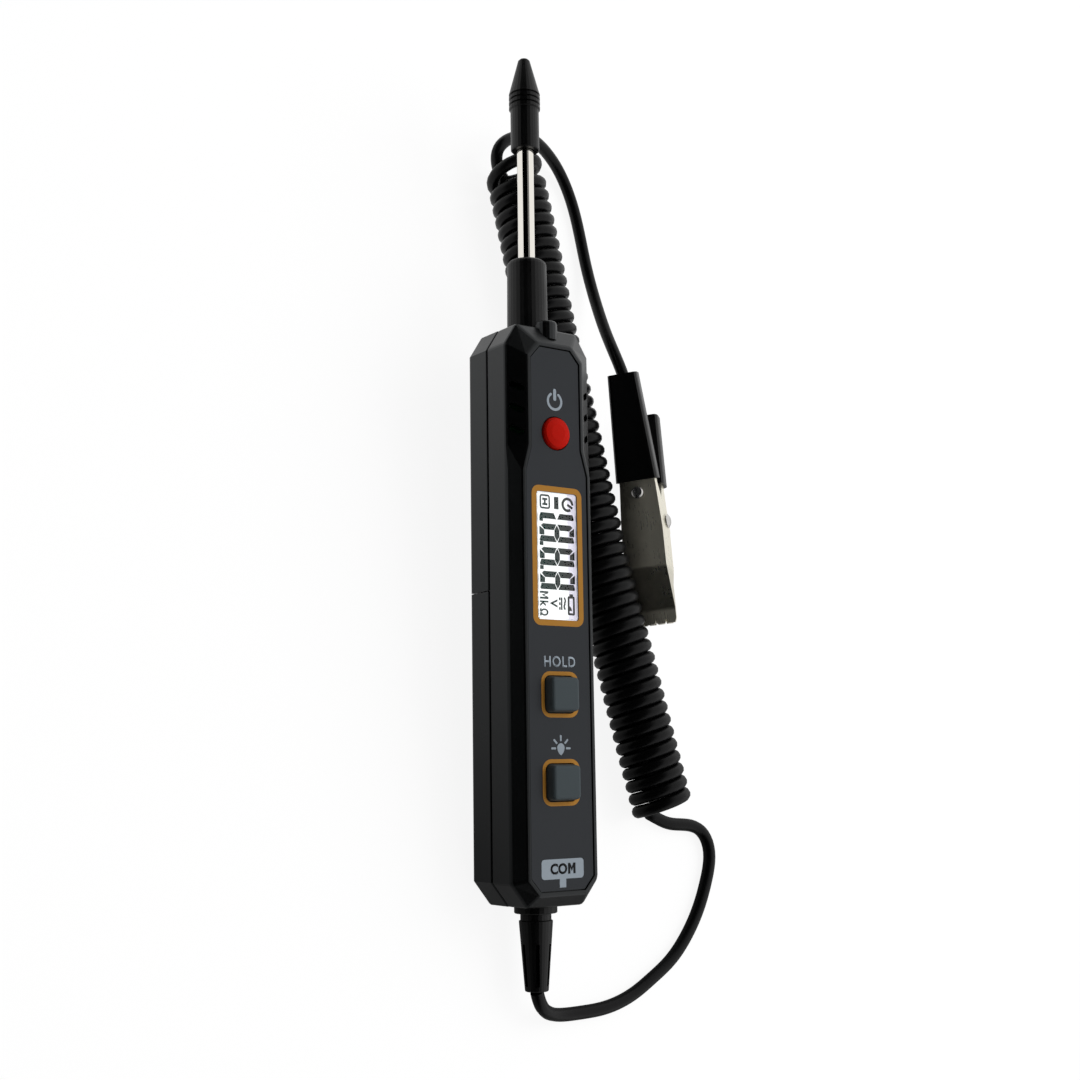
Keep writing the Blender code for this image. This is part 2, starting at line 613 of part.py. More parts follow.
def rear_shell(tester, plastic):
    """Upper rear half, with an end wall that closes the battery bay off."""
    tray = rear_half("rear_shell", tester, plastic, (-WALL, COVER_SPLIT + GAP / 2))
    bm = bmesh.new()
    half = HALF_WIDTH - WALL + GAP
    low = WALL - 2 * GAP
    box(bm, (-half, half), (COVER_SPLIT + GAP / 2, COVER_SPLIT + WALL), (low, SEAM_HEIGHT - GAP))
    combine(tray, add_solid("rear_end_wall", bm, tester), "UNION")
    add_rear_bosses(tray, "rear_shell", tester, "case")
    bm = bmesh.new()
    slot = TONGUE_WIDTH / 2 + GAP
    slot_top = WALL + TONGUE_THICKNESS + 2 * GAP
    box(bm, (-slot, slot), (COVER_SPLIT - WALL, COVER_SPLIT + 2 * WALL), (WALL, slot_top))
    add_sockets(bm)
    combine(tray, add_solid("rear_shell_openings", bm, tester), "DIFFERENCE")


def battery_cover(tester, plastic):
    """Lower rear half. Its tongue hooks into the rear shell and two screws hold its tail."""
    tray = rear_half("battery_cover", tester, plastic, (COVER_SPLIT - GAP / 2, BODY_LENGTH + WALL))
    bm = bmesh.new()
    half = TONGUE_WIDTH / 2
    top = WALL + GAP + TONGUE_THICKNESS
    box(bm, (-half, half), (COVER_SPLIT - TONGUE_REACH, COVER_SPLIT + TONGUE_REACH), (WALL + GAP, top))
    combine(tray, add_solid("cover_tongue", bm, tester), "UNION")
    bm = bmesh.new()
    box(bm, (-half, half), (COVER_SPLIT - TONGUE_REACH - WALL, COVER_SPLIT - 2 * GAP), (WALL / 2, top - GAP))
    combine(tray, add_solid("cover_tongue_root", bm, tester), "UNION")
    add_rear_bosses(tray, "battery_cover", tester, "cover")
    bm = bmesh.new()
    add_sockets(bm)
    combine(tray, add_solid("battery_cover_openings", bm, tester), "DIFFERENCE")


def face_label(tester, material):
    """Thin plate in the rim, with the window and button holes."""
    bm = bmesh.new()
    prism(bm, panel_outline(), PANEL_TOP - PANEL_THICKNESS, PANEL_TOP)
    plate = add_solid("face_label", bm, tester, material)
    bm = bmesh.new()
    low, high = PANEL_FLOOR - GAP, PANEL_TOP + GAP
    prism(bm, rounded_rectangle(WINDOW_WIDTH, WINDOW_LENGTH, WINDOW_CORNER, (0.0, WINDOW_MIDDLE)), low, high)
    cylinder(bm, POWER_DIAMETER / 2 + GAP, low, high, (0.0, POWER_MIDDLE, 0.0), steps=32)
    for middle in key_places().values():
        prism(bm, key_outline(GAP, middle), low, high)
    combine(plate, add_solid("label_holes", bm, tester), "DIFFERENCE")


def display(tester):
    """Window lens, liquid-crystal glass, light guide and the two contact strips."""
    clear = finish("clear_acrylic", (0.80, 0.84, 0.84), 0.05)
    middle = (0.0, WINDOW_MIDDLE)
    bm = bmesh.new()
    rim = rounded_rectangle(GLASS_WIDTH, GLASS_LENGTH, GAP, middle)
    window = rounded_rectangle(WINDOW_WIDTH - 2 * GAP, WINDOW_LENGTH - 2 * GAP, WINDOW_CORNER - GAP, middle)
    loft(bm, [(rim, PANEL_FLOOR - LENS_THICKNESS), (rim, PANEL_FLOOR),
              (window, PANEL_FLOOR), (window, PANEL_TOP)])
    add_solid("display_window", bm, tester, clear)
    bm = bmesh.new()
    glass = rounded_rectangle(GLASS_WIDTH, GLASS_LENGTH, GAP, middle, 1)
    prism(bm, glass, GLASS_TOP - GLASS_THICKNESS, GLASS_TOP)
    add_solid("lcd_glass", bm, tester, finish("lcd_glass", (0.72, 0.76, 0.74), 0.1))
    bm = bmesh.new()
    guide = GLASS_WIDTH - 2 * (STRIP_WIDTH + GAP)
    guide_outline = rounded_rectangle(guide, GLASS_LENGTH, GAP, middle, 1)
    prism(bm, guide_outline, GUIDE_TOP - LIGHT_GUIDE_THICKNESS, GUIDE_TOP)
    add_solid("lcd_light_guide", bm, tester, finish("light_guide", (0.9, 0.92, 0.95), 0.3))
    rubber = finish("contact_rubber", (0.05, 0.05, 0.05), 0.8)
    for name, side in (("contact_strip_left", -1), ("contact_strip_right", 1)):
        bm = bmesh.new()
        outer = side * GLASS_WIDTH / 2
        inner = outer - side * STRIP_WIDTH
        half = WINDOW_LENGTH / 2
        along = (WINDOW_MIDDLE - half, WINDOW_MIDDLE + half)
        box(bm, sorted((outer, inner)), along, (BOARD_TOP + GAP, GUIDE_TOP))
        add_solid(name, bm, tester, rubber)


def power_button(tester):
    """Round domed button, held in by the flange under the shell."""
    bm = bmesh.new()
    radius = POWER_DIAMETER / 2
    top = PANEL_TOP + POWER_RISE - BODY_DEPTH
    flange = FLANGE_TOP - BODY_DEPTH
    stem_end = stem_bottom() - BODY_DEPTH
    stem, lip, flange_low = STEM_DIAMETER / 2, radius + FLANGE_LIP, flange - FLANGE_THICKNESS
    turned(bm, [(0.0, stem_end), (stem, stem_end), (stem, flange_low),
                (lip, flange_low), (lip, flange), (radius, flange)]
           + rounded_rim(radius, top - POWER_CROWN, POWER_ROUND)
           + [(radius / 2, top - POWER_CROWN / 4), (0.0, top)], 32, along="Z")
    red = finish("red_button", (0.52, 0.012, 0.004), 0.4)
    add_solid("power_button", bm, tester, red, (0.0, POWER_MIDDLE, BODY_DEPTH), radians(35))


def stem_bottom():
    return BOARD_TOP + TRAVEL + BORE_GAP


def key(name, middle, tester):
    """Square button with drafted sides and a soft top edge."""
    bm = bmesh.new()
    flange = FLANGE_TOP - BODY_DEPTH
    top = PANEL_TOP + KEY_RISE - BODY_DEPTH
    wide = key_outline(FLANGE_LIP)
    rings = [(wide, flange - FLANGE_THICKNESS), (wide, flange), (key_outline(), flange), (key_outline(), 0.0)]
    rings += [(key_outline(extra), height) for extra, height in rounded_rim(-KEY_DRAFT, top, KEY_ROUND)]
    loft(bm, rings)
    grey = finish("grey_button", (0.07, 0.08, 0.075), 0.5)
    button = add_solid(name, bm, tester, grey, (0.0, middle, BODY_DEPTH), radians(35))
    bm = bmesh.new()
    cylinder(bm, STEM_DIAMETER / 2, stem_bottom() - BODY_DEPTH, flange - FLANGE_THICKNESS / 2, steps=16)
    stem = add_solid(name + "_stem", bm, button)
    combine(button, stem, "UNION")


def buttons(tester):
    power_button(tester)
    for name, middle in key_places().items():
        key(name + "_button", middle, tester)


def circuit(tester):
    """Board with its three switches, buzzer and torch lamp."""
    bm = bmesh.new()
    half = BOARD_WIDTH / 2
    box(bm, (-half, half), (BOARD_MARGIN, BODY_LENGTH - BOARD_MARGIN), (BOARD_BACK, BOARD_TOP))
    add_solid("circuit_board", bm, tester, finish("board", (0.01, 0.12, 0.04), 0.5))
    black = finish("black_moulding", (0.02, 0.02, 0.02), 0.5)
    low = BOARD_TOP + GAP
    places = dict(key_places(), power=POWER_MIDDLE)
    for name, middle in places.items():
        bm = bmesh.new()
        prism(bm, rounded_rectangle(SWITCH_WIDTH, SWITCH_WIDTH, GAP, steps=2), low, low + SWITCH_HEIGHT)
        switch = add_solid(name + "_switch", bm, tester, black, (0.0, middle, 0.0))
        bm = bmesh.new()
        cylinder(bm, STEM_DIAMETER / 2 + GAP, low - WALL, low + 2 * SWITCH_HEIGHT, steps=16)
        combine(switch, add_solid(name + "_switch_bore", bm, switch), "DIFFERENCE")
    bm = bmesh.new()
    top = BOARD_BACK - GAP
    radius = BUZZER_DIAMETER / 2
    hole = BUZZER_HOLE / 2
    turned(bm, [(0.0, top), (radius, top), (radius, top - BUZZER_HEIGHT), (hole, top - BUZZER_HEIGHT),
                (hole, top - BUZZER_HEIGHT / 2), (0.0, top - BUZZER_HEIGHT / 2)], along="Z")
    add_solid("buzzer", bm, tester, black, (0.0, POWER_MIDDLE, 0.0), radians(35))
    bm = bmesh.new()
    radius = TORCH_DIAMETER / 2
    end = BODY_LENGTH + TORCH_REACH
    start = end - TORCH_LENGTH
    profile = [(0.0, start), (radius, start)] + rounded_rim(radius, end, radius)
    turned(bm, profile, 20, (0.0, 0.0, TORCH_HEIGHT))
    add_solid("torch_lamp", bm, tester, finish("lamp_lens", (0.85, 0.88, 0.9), 0.05), round_angle=radians(35))


def batteries(tester):
    """Two cells in a frame, a link plate at the tail and two springs at the head of the bay."""
    frame_black = finish("black_moulding", (0.02, 0.02, 0.02), 0.5)
    nickel = finish("nickel", (0.6, 0.58, 0.54), 0.3, 1.0)
    half = BAY_HALF_WIDTH
    cell_low = BAY_TAIL + CONTACT_THICKNESS + 2 * GAP + NUB_HEIGHT
    low, high = WALL + GAP, BOARD_BACK - GAP
    bm = bmesh.new()
    width, length = 2 * (half + FRAME_WALL), BAY_LENGTH + 2 * FRAME_WALL
    middle = (0.0, (BAY_TAIL + BAY_HEAD) / 2)
    prism(bm, rounded_rectangle(width, length, FRAME_CORNER, middle, 2), low + FRAME_LIFT, high)
    frame = add_solid("battery_frame", bm, tester, frame_black)
    bm = bmesh.new()
    box(bm, (-half, half), (BAY_TAIL, BAY_HEAD), (low - WALL, high + WALL))
    combine(frame, add_solid("battery_frame_inside", bm, tester), "DIFFERENCE")

    wrap = finish("cell_wrap", (0.05, 0.12, 0.2), 0.35, 0.4)
    radius = CELL_DIAMETER / 2
    nub = NUB_DIAMETER / 2
    side = CELL_SPACING / 2
    for name, x, towards_tail in (("battery_left", -side, True), ("battery_right", side, False)):
        bm = bmesh.new()
        can = CELL_LENGTH - NUB_HEIGHT
        verts = turned(bm, [(0.0, -NUB_HEIGHT), (nub, -NUB_HEIGHT), (nub, 0.0), (radius - CELL_ROUND, 0.0),
                            (radius, CELL_ROUND), (radius, can - CELL_ROUND), (radius - CELL_ROUND, can),
                            (0.0, can)], 24)
        if not towards_tail:
            bmesh.ops.transform(bm, matrix=Matrix.Translation((0.0, CELL_LENGTH - 2 * NUB_HEIGHT, 0.0))
                                @ Matrix.Rotation(pi, 4, "Z"), verts=verts)
        add_solid(name, bm, tester, wrap, (x, cell_low, CELL_HEIGHT), radians(35))

    bm = bmesh.new()
    plate = half - GAP
    box(bm, (-plate, plate), (BAY_TAIL + GAP, BAY_TAIL + GAP + CONTACT_THICKNESS),
        (CELL_HEIGHT - CONTACT_WIDTH / 2, CELL_HEIGHT + CONTACT_WIDTH / 2))
    add_solid("contact_plate", bm, tester, nickel)
    start = cell_low + CELL_LENGTH - NUB_HEIGHT + GAP + SPRING_WIRE / 2
    end = BAY_HEAD - GAP - SPRING_WIRE / 2
    for name, x in (("contact_spring_left", -CELL_SPACING / 2), ("contact_spring_right", CELL_SPACING / 2)):
        steps = round(10 * SPRING_TURNS)
        points = []
        for i in range(steps + 1):
            share = i / steps
            angle = 2 * pi * SPRING_TURNS * share
            reach = (SPRING_SMALL_END + (SPRING_LARGE_END - SPRING_SMALL_END) * share) / 2
            y = start + (end - start) * share
            points.append((x + reach * cos(angle), y, CELL_HEIGHT + reach * sin(angle)))
        add_tube(name, points, SPRING_WIRE, 1, tester, nickel)


def screws(tester):
    steel = finish("zinc_steel", (0.55, 0.55, 0.56), 0.35, 1.0)
    head, shank = SCREW_HEAD / 2, SCREW_SHANK / 2
    for name, (x, y) in screw_places().items():
        bm = bmesh.new()
        neck = SCREW_SINK + SCREW_HEAD_HEIGHT
        crown = SCREW_SINK + SCREW_HEAD_ROUND
        turned(bm, [(0.0, SCREW_SINK), (head - SCREW_HEAD_ROUND, SCREW_SINK), (head, crown), (head, neck),
                    (shank, neck), (shank, SCREW_LENGTH), (0.0, SCREW_LENGTH + SCREW_POINT)], 16, along="Z")
        screw = add_solid(name, bm, tester, steel, (x, y, 0.0), radians(35))
        half_recess = RECESS_WIDTH / 2
        arms = (("_recess_a", RECESS_REACH, half_recess), ("_recess_b", half_recess, RECESS_REACH))
        for mark, across, along in arms:
            bm = bmesh.new()
            box(bm, (-across, across), (-along, along), (-WALL, SCREW_SINK + RECESS_DEPTH))
            combine(screw, add_solid(name + mark, bm, screw), "DIFFERENCE")


def probe(tester):
    """Insulated sleeve, steel rod with its point and the pull-off rubber cap."""
    rubber = finish("black_rubber", (0.012, 0.012, 0.013), 0.6)
    axis = (0.0, 0.0, SEAM_HEIGHT)
    head = BODY_LENGTH
    root, end = SLEEVE_DIAMETER / 2, SLEEVE_END_DIAMETER / 2
    neck = end - SLEEVE_FLANGE
    bore = ROD_DIAMETER / 2 + GAP
    inside = head - WALL - 2 * GAP
    bm = bmesh.new()
    rim, top = inside - SLEEVE_FLANGE_LENGTH, head + SLEEVE_LENGTH
    turned(bm, [(0.0, rim), (end, rim), (end, inside), (neck, inside), (neck, head + GAP), (root, head + GAP)]
           + rounded_rim(end, top, SLEEVE_ROUND) + [(0.0, top)], 32, axis)
    sleeve = add_solid("probe_sleeve", bm, tester, rubber, round_angle=radians(35))
    bm = bmesh.new()
    cylinder(bm, bore, rim - WALL, top + WALL, axis, "Y", 32)
    combine(sleeve, add_solid("sleeve_bore", bm, tester), "DIFFERENCE")

    bm = bmesh.new()
    radius = ROD_DIAMETER / 2
    tip = head + ROD_REACH
    turned(bm, [(0.0, head - ROD_SEAT), (radius, head - ROD_SEAT), (radius, tip - ROD_POINT),
                (GAP, tip - GAP), (0.0, tip)], 32, axis)
    steel = finish("bright_steel", (0.72, 0.71, 0.68), 0.18, 1.0)
    add_solid("probe_rod", bm, tester, steel, round_angle=radians(35))

    outer, rib, point = CAP_DIAMETER / 2, CAP_RIB_DIAMETER / 2, CAP_TIP_DIAMETER / 2
    edge = CAP_GROOVE / 2
    profile = [(bore, 0.0), (outer - edge, 0.0), (outer, edge), (outer, CAP_RIB_START)]
    for i in range(CAP_RIBS):
        low, high = CAP_RIB_START + i * CAP_RIB_PITCH, CAP_RIB_START + (i + 1) * CAP_RIB_PITCH
        profile += [(rib, low + edge), (rib, high - 2 * edge)]
        profile += [(rib - 2 * edge, high - edge), (rib - 2 * edge, high)]
    profile += [(rib, CAP_RIB_START + CAP_RIBS * CAP_RIB_PITCH + edge)]
    profile += rounded_rim(point, CAP_LENGTH, CAP_ROUND) + [(0.0, CAP_LENGTH)]
    deep = CAP_COVER + 5 * GAP
    profile += [(0.0, deep), (bore, deep - ROD_POINT), (bore, 0.0)]
    bm = bmesh.new()
    turned(bm, profile, 28)
    add_solid("tip_cap", bm, tester, rubber, (0.0, head + CAP_START, SEAM_HEIGHT), radians(35))


def strain_relief(tester):
    """Moulded grommet clamped in the tail, with flex grooves."""
    rubber = finish("black_rubber", (0.012, 0.012, 0.013), 0.6)
    collar, neck = RELIEF_COLLAR_DIAMETER / 2, RELIEF_NECK_DIAMETER / 2
    root, end = RELIEF_ROOT_DIAMETER / 2, RELIEF_END_DIAMETER / 2
    flange = WALL + GAP
    waist = RELIEF_COLLAR_LENGTH + GAP
    bm = bmesh.new()
    rim = flange + RELIEF_FLANGE_LENGTH
    shoulder = waist + RELIEF_NECK_LENGTH
    edge = (root - neck) / 2
    lip = neck + RELIEF_FLANGE
    turned(bm, [(0.0, rim), (lip, rim), (lip, flange), (neck, flange), (neck, -GAP),
                (collar, -GAP), (collar, edge - waist), (collar - edge, -waist), (neck, -waist),
                (neck, -shoulder),
                (root, -shoulder - edge), (root, -shoulder - 3 * edge), (end, edge - RELIEF_LENGTH),
                (end - edge, -RELIEF_LENGTH), (0.0, -RELIEF_LENGTH)], 28, (0.0, 0.0, SEAM_HEIGHT))
    relief = add_solid("strain_relief", bm, tester, rubber, round_angle=radians(35))
    bm = bmesh.new()
    start, stop = -waist - RELIEF_GROOVE_START, RELIEF_GROOVE_END - RELIEF_LENGTH
    half = RELIEF_GROOVE_WIDTH / 2
    for i in range(RELIEF_GROOVES):
        verts = box(bm, (-half, half), (stop, start), (end - RELIEF_GROOVE_DEPTH, root + MM))
        turn = Matrix.Rotation(2 * pi * (i + 0.5) / RELIEF_GROOVES, 4, "Y")
        bmesh.ops.transform(bm, matrix=Matrix.Translation((0.0, 0.0, SEAM_HEIGHT)) @ turn, verts=verts)
    combine(relief, add_solid("relief_grooves", bm, tester), "DIFFERENCE")


def handle_height(y):
    """Height of a handle's outer face above the clip's middle plane."""
    return CLIP_FACE_HEIGHT + tan(CLIP_HANDLE_ANGLE) * (y - CLIP_SHOULDER)


def clip_profile(inward, end):
    """Side view of one half, as (y, z) points: y along the clip, z out of its face.

    inward is the sheet's thickness for the hollow inside, and nothing for the outside.
    """
    lip = CLIP_TIP + CLIP_LIP
    face = CLIP_FACE_HEIGHT - inward
    past = MM if inward else 0.0
    ear_half = CLIP_EAR * CLIP_EAR_TAPER
    low = GAP - past
    top = [(lip + inward, GAP + CLIP_SHEET - inward), (CLIP_NOSE + inward / 2, face),
           (CLIP_TAPER_START, face),
           (CLIP_SHOULDER, face), (end + past, handle_height(end + past) - inward)]
    root = CLIP_SHOULDER + MM
    bottom = [(end + past, handle_height(end + past) - CLIP_HANDLE_DEPTH - past),
              (root, handle_height(root) - CLIP_HANDLE_DEPTH - past), (CLIP_EAR, low),
              (ear_half, low - CLIP_EAR_DROP), (-ear_half, low - CLIP_EAR_DROP),
              (-CLIP_EAR, low), (lip + inward, low)]
    return top + bottom


def tapered_channel(bm, profile, width, inward):
    """A side view in y and z spread to both sides, then trimmed along the handle's taper."""
    half, end = width / 2 - inward, CLIP_HANDLE_WIDTH / 2 - inward
    sides = [[bm.verts.new((side * half, y, z)) for y, z in profile] for side in (-1, 1)]
    for i in range(len(profile)):
        j = (i + 1) % len(profile)
        bm.faces.new((sides[0][i], sides[0][j], sides[1][j], sides[1][i]))
    bm.faces.new(sides[0][::-1])
    bm.faces.new(sides[1])
    for side in (-1, 1):
        outward = (side * (CLIP_HANDLE_END - CLIP_TAPER_START), half - end, 0.0)
        geometry = bm.verts[:] + bm.edges[:] + bm.faces[:]
        bmesh.ops.bisect_plane(bm, geom=geometry, plane_co=(side * half, CLIP_TAPER_START, 0.0),
                               plane_no=outward, clear_outer=True)
        bmesh.ops.holes_fill(bm, edges=[edge for edge in bm.edges if edge.is_boundary])


def clip_half_width(width, y):
    """Half the width at a place along the handle, which narrows towards its end."""
    share = (y - CLIP_TAPER_START) / (CLIP_HANDLE_END - CLIP_TAPER_START)
    return (width + (CLIP_HANDLE_WIDTH - width) * share) / 2


def clip_half(name, clip, width, end, material, flip):
    """One stamped channel: face, folded sides with ears, toothed lip and handle."""
    bm = bmesh.new()
    tapered_channel(bm, clip_profile(0.0, end), width, 0.0)
    half = add_solid(name, bm, clip, material)
    bm = bmesh.new()
    tapered_channel(bm, clip_profile(CLIP_SHEET, end), width, CLIP_SHEET)
    combine(half, add_solid(name + "_channel", bm, clip), "DIFFERENCE")
    bm = bmesh.new()
    box(bm, (-width / 2, width / 2), (CLIP_TIP, CLIP_TIP + CLIP_LIP + MM), (GAP, GAP + CLIP_SHEET))
    combine(half, add_solid(name + "_lip", bm, clip), "UNION")
    bm = bmesh.new()
    pitch = width / CLIP_TEETH
    for i in range(CLIP_TEETH + 1):
        middle = i * pitch - width / 2
        outline = [Vector((middle - pitch / 4, CLIP_TIP - MM)), Vector((middle + pitch / 4, CLIP_TIP - MM)),
                   Vector((middle, CLIP_TIP + CLIP_TOOTH))]
        prism(bm, outline, GAP - MM, GAP + CLIP_SHEET + MM)
    combine(half, add_solid(name + "_teeth_gaps", bm, clip), "DIFFERENCE")
    bm = bmesh.new()
    across = RIVET_DIAMETER / 2 + GAP
    verts = cylinder(bm, across, -CLIP_WIDTH, CLIP_WIDTH, steps=16)
    bmesh.ops.transform(bm, matrix=Matrix.Rotation(pi / 2, 4, "Y"), verts=verts)
    combine(half, add_solid(name + "_rivet_hole", bm, clip), "DIFFERENCE")
    if flip:
        turn_over(half)


def turn_over(half):
    """Puts a piece modelled as the clip's front half on the rear side."""
    half.rotation_euler = (0.0, pi, 0.0)
    for modifier in half.modifiers:
        modifier.object.rotation_euler = (0.0, pi, 0.0)


def grip(name, clip, width, end, material, flip):
    """Soft sleeve pushed over a handle, wider where it meets the metal."""
    place = Matrix.Translation((0.0, CLIP_SHOULDER, CLIP_FACE_HEIGHT)) @ Matrix.Rotation(
        CLIP_HANDLE_ANGLE - pi / 2, 4, "X")
    solids = []
    for wall, past in ((GRIP_WALL, 0.0), (0.0, MM)):
        bm = bmesh.new()
        rings = []
        for y in (GRIP_START - past, end + GRIP_OVERHANG + past):
            across = 2 * (clip_half_width(width, y) + GAP + wall)
            depth = CLIP_HANDLE_DEPTH + 2 * (GAP + wall)
            outline = rounded_rectangle(across, depth, GRIP_CORNER + wall, (0.0, CLIP_HANDLE_DEPTH / 2), 3)
            rings.append((outline, (y - CLIP_SHOULDER) / cos(CLIP_HANDLE_ANGLE)))
        bmesh.ops.transform(bm, matrix=place, verts=loft(bm, rings))
        solids.append(bm)
    sleeve = add_solid(name, solids[0], clip, material, round_angle=radians(35))
    combine(sleeve, add_solid(name + "_inside", solids[1], clip), "DIFFERENCE")
    if flip:
        turn_over(sleeve)


def clip_spring(clip, material):
    """Torsion spring round the rivet. Its two arms press the handles apart."""
    radius = (CLIP_SPRING_DIAMETER - CLIP_SPRING_WIRE) / 2
    arm_y = CLIP_SHOULDER + CLIP_SPRING_ARM
    arm_z = handle_height(arm_y) - CLIP_SHEET - GAP - CLIP_SPRING_WIRE / 2
    leave = atan2(arm_z, arm_y) + acos(radius / Vector((arm_y, arm_z)).length)
    sweep = 2 * pi * CLIP_SPRING_TURNS + 2 * (pi - leave)
    half_coil = (CLIP_SPRING_TURNS + 0.5) * (CLIP_SPRING_WIRE + CLIP_SPRING_SPACE) / 2
    steps = 10 * CLIP_SPRING_TURNS
    points = [Vector((-half_coil, arm_y, arm_z))]
    for i in range(steps + 1):
        share = i / steps
        angle = leave + sweep * share
        points.append(Vector((half_coil * (2 * share - 1), radius * cos(angle), radius * sin(angle))))
    points.append(Vector((half_coil, arm_y, -arm_z)))
    add_tube("clip_spring", points, CLIP_SPRING_WIRE, 1, clip, material)


def rivet(clip, material):
    """Pin with two formed heads, through the ears of both halves."""
    bm = bmesh.new()
    shank, head = RIVET_DIAMETER / 2, RIVET_HEAD / 2
    reach = CLIP_WIDTH / 2 + GAP
    crown = reach + RIVET_HEAD_HEIGHT
    verts = turned(bm, [(0.0, -crown), (head / 2, -crown), (head, -reach), (shank, -reach), (shank, reach),
                        (head, reach), (head / 2, crown), (0.0, crown)], 20, along="Z")
    bmesh.ops.transform(bm, matrix=Matrix.Rotation(pi / 2, 4, "Y"), verts=verts)
    add_solid("clip_rivet", bm, clip, material, round_angle=radians(35))


def terminal_screw(clip, material):
    """Cheese-head screw with a slot, which clamps the lead under the front face."""
    bm = bmesh.new()
    low = CLIP_FACE_HEIGHT + GAP
    radius = TERMINAL_DIAMETER / 2
    top = low + TERMINAL_HEAD_HEIGHT
    chamfer = TERMINAL_HEAD_HEIGHT / 3
    turned(bm, [(0.0, low), (radius, low), (radius, top - chamfer), (radius - chamfer, top), (0.0, top)],
           24, (0.0, TERMINAL_PLACE, 0.0), "Z")
    screw = add_solid("clip_terminal_screw", bm, clip, material, round_angle=radians(35))
    bm = bmesh.new()
    half_slot = TERMINAL_SLOT / 2
    box(bm, (-half_slot, half_slot), (TERMINAL_PLACE - TERMINAL_DIAMETER, TERMINAL_PLACE + TERMINAL_DIAMETER),
        (top - TERMINAL_HEAD_HEIGHT / 2, top + MM))
    combine(screw, add_solid("terminal_slot", bm, clip), "DIFFERENCE")


def crocodile_clip(table):
    """Two stamped halves on a rivet, pushed shut by a torsion spring, with soft grips."""
    turn = Matrix.Rotation(CLIP_HEADING, 4, "Z") @ Matrix.Rotation(CLIP_PITCH, 4, "X") \
        @ Matrix.Rotation(CLIP_ROLL, 4, "Y")
    clip = add_frame("clip_frame", table, Matrix.Translation(CLIP_PIVOT) @ turn)
    nickel = finish("satin_nickel", (0.5, 0.48, 0.42), 0.3, 1.0)
    steel = finish("bright_steel", (0.72, 0.71, 0.68), 0.18, 1.0)
    vinyl = finish("black_vinyl", (0.02, 0.02, 0.022), 0.45)
    rear_width = CLIP_WIDTH - 2 * (CLIP_SHEET + GAP)
    clip_half("clip_front_jaw", clip, CLIP_WIDTH, CLIP_HANDLE_END, nickel, False)
    clip_half("clip_rear_jaw", clip, rear_width, CLIP_REAR_HANDLE_END, nickel, True)
    grip("clip_front_grip", clip, CLIP_WIDTH, CLIP_HANDLE_END, vinyl, False)
    grip("clip_rear_grip", clip, rear_width, CLIP_REAR_HANDLE_END, vinyl, True)
    rivet(clip, steel)
    clip_spring(clip, steel)
    terminal_screw(clip, steel)


def curly_lead(table):
    """The coil as its outer shape, and the plain lead at both its ends."""
    vinyl = finish("black_vinyl_lead", (0.015, 0.015, 0.016), 0.45)
    rest = COIL_DIAMETER / 2 + COIL_CLEARANCE
    coil = [Vector((x * MM, y * MM, rest)) for x, y in COIL_ROUTE]
    add_tube("lead_coil", smooth_route(coil, COIL_DIAMETER), COIL_DIAMETER, 6, table, vinyl)
    for name, route in (("lead_tail", TAIL_LEAD_ROUTE), ("lead_clip", CLIP_LEAD_ROUTE)):
        points = [Vector(point) * MM for point in route]
        add_tube(name, smooth_route(points, 2 * LEAD_DIAMETER), LEAD_DIAMETER, 2, table, vinyl)


clear_scene()
table_frame = add_frame("table_frame", matrix=Matrix.Translation((0.0, TABLE_SHIFT, 0.0)))
heel = Vector((0.0, BACK_RADIUS, BACK_RADIUS))
lean = Matrix.Translation(heel) @ Matrix.Rotation(TILT, 4, "X") @ Matrix.Translation(-heel)
tester_frame = add_frame("tester_frame", table_frame, lean)
housing = finish("housing_plastic", (0.016, 0.016, 0.017), 0.5)
front_shell(tester_frame, housing)
rear_shell(tester_frame, housing)
battery_cover(tester_frame, housing)
face_label(tester_frame, finish("label_film", (0.035, 0.035, 0.038), 0.4))
display(tester_frame)
buttons(tester_frame)
circuit(tester_frame)
batteries(tester_frame)
screws(tester_frame)
probe(tester_frame)
strain_relief(tester_frame)
crocodile_clip(table_frame)
curly_lead(table_frame)
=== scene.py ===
from math import cos, pi, radians, sin

import bmesh
import bpy
from mathutils import Matrix, Vector


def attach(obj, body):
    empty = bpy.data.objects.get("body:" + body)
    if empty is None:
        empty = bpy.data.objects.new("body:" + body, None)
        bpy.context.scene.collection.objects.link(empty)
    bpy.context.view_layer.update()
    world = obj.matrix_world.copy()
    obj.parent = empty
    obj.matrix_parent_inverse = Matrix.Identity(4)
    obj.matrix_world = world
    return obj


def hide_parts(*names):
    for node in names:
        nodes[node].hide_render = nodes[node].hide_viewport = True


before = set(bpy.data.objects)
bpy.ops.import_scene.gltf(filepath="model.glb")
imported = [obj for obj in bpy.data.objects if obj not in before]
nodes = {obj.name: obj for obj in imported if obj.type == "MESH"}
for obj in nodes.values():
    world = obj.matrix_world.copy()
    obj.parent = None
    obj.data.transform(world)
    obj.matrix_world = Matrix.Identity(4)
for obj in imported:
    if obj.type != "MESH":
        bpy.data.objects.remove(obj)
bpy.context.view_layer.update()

scene = bpy.context.scene


# Camera
# A 50 mm lens looks down on the tester's front, as in a close product photograph. It stands to the left of
# the tester and a little towards its tail.
CAMERA_PLACE = (-0.2406, -0.1044, 0.3482)
CAMERA_TURN = (15.910, -35.472, -4.982)
LENS = 50
SENSOR_WIDTH = 36

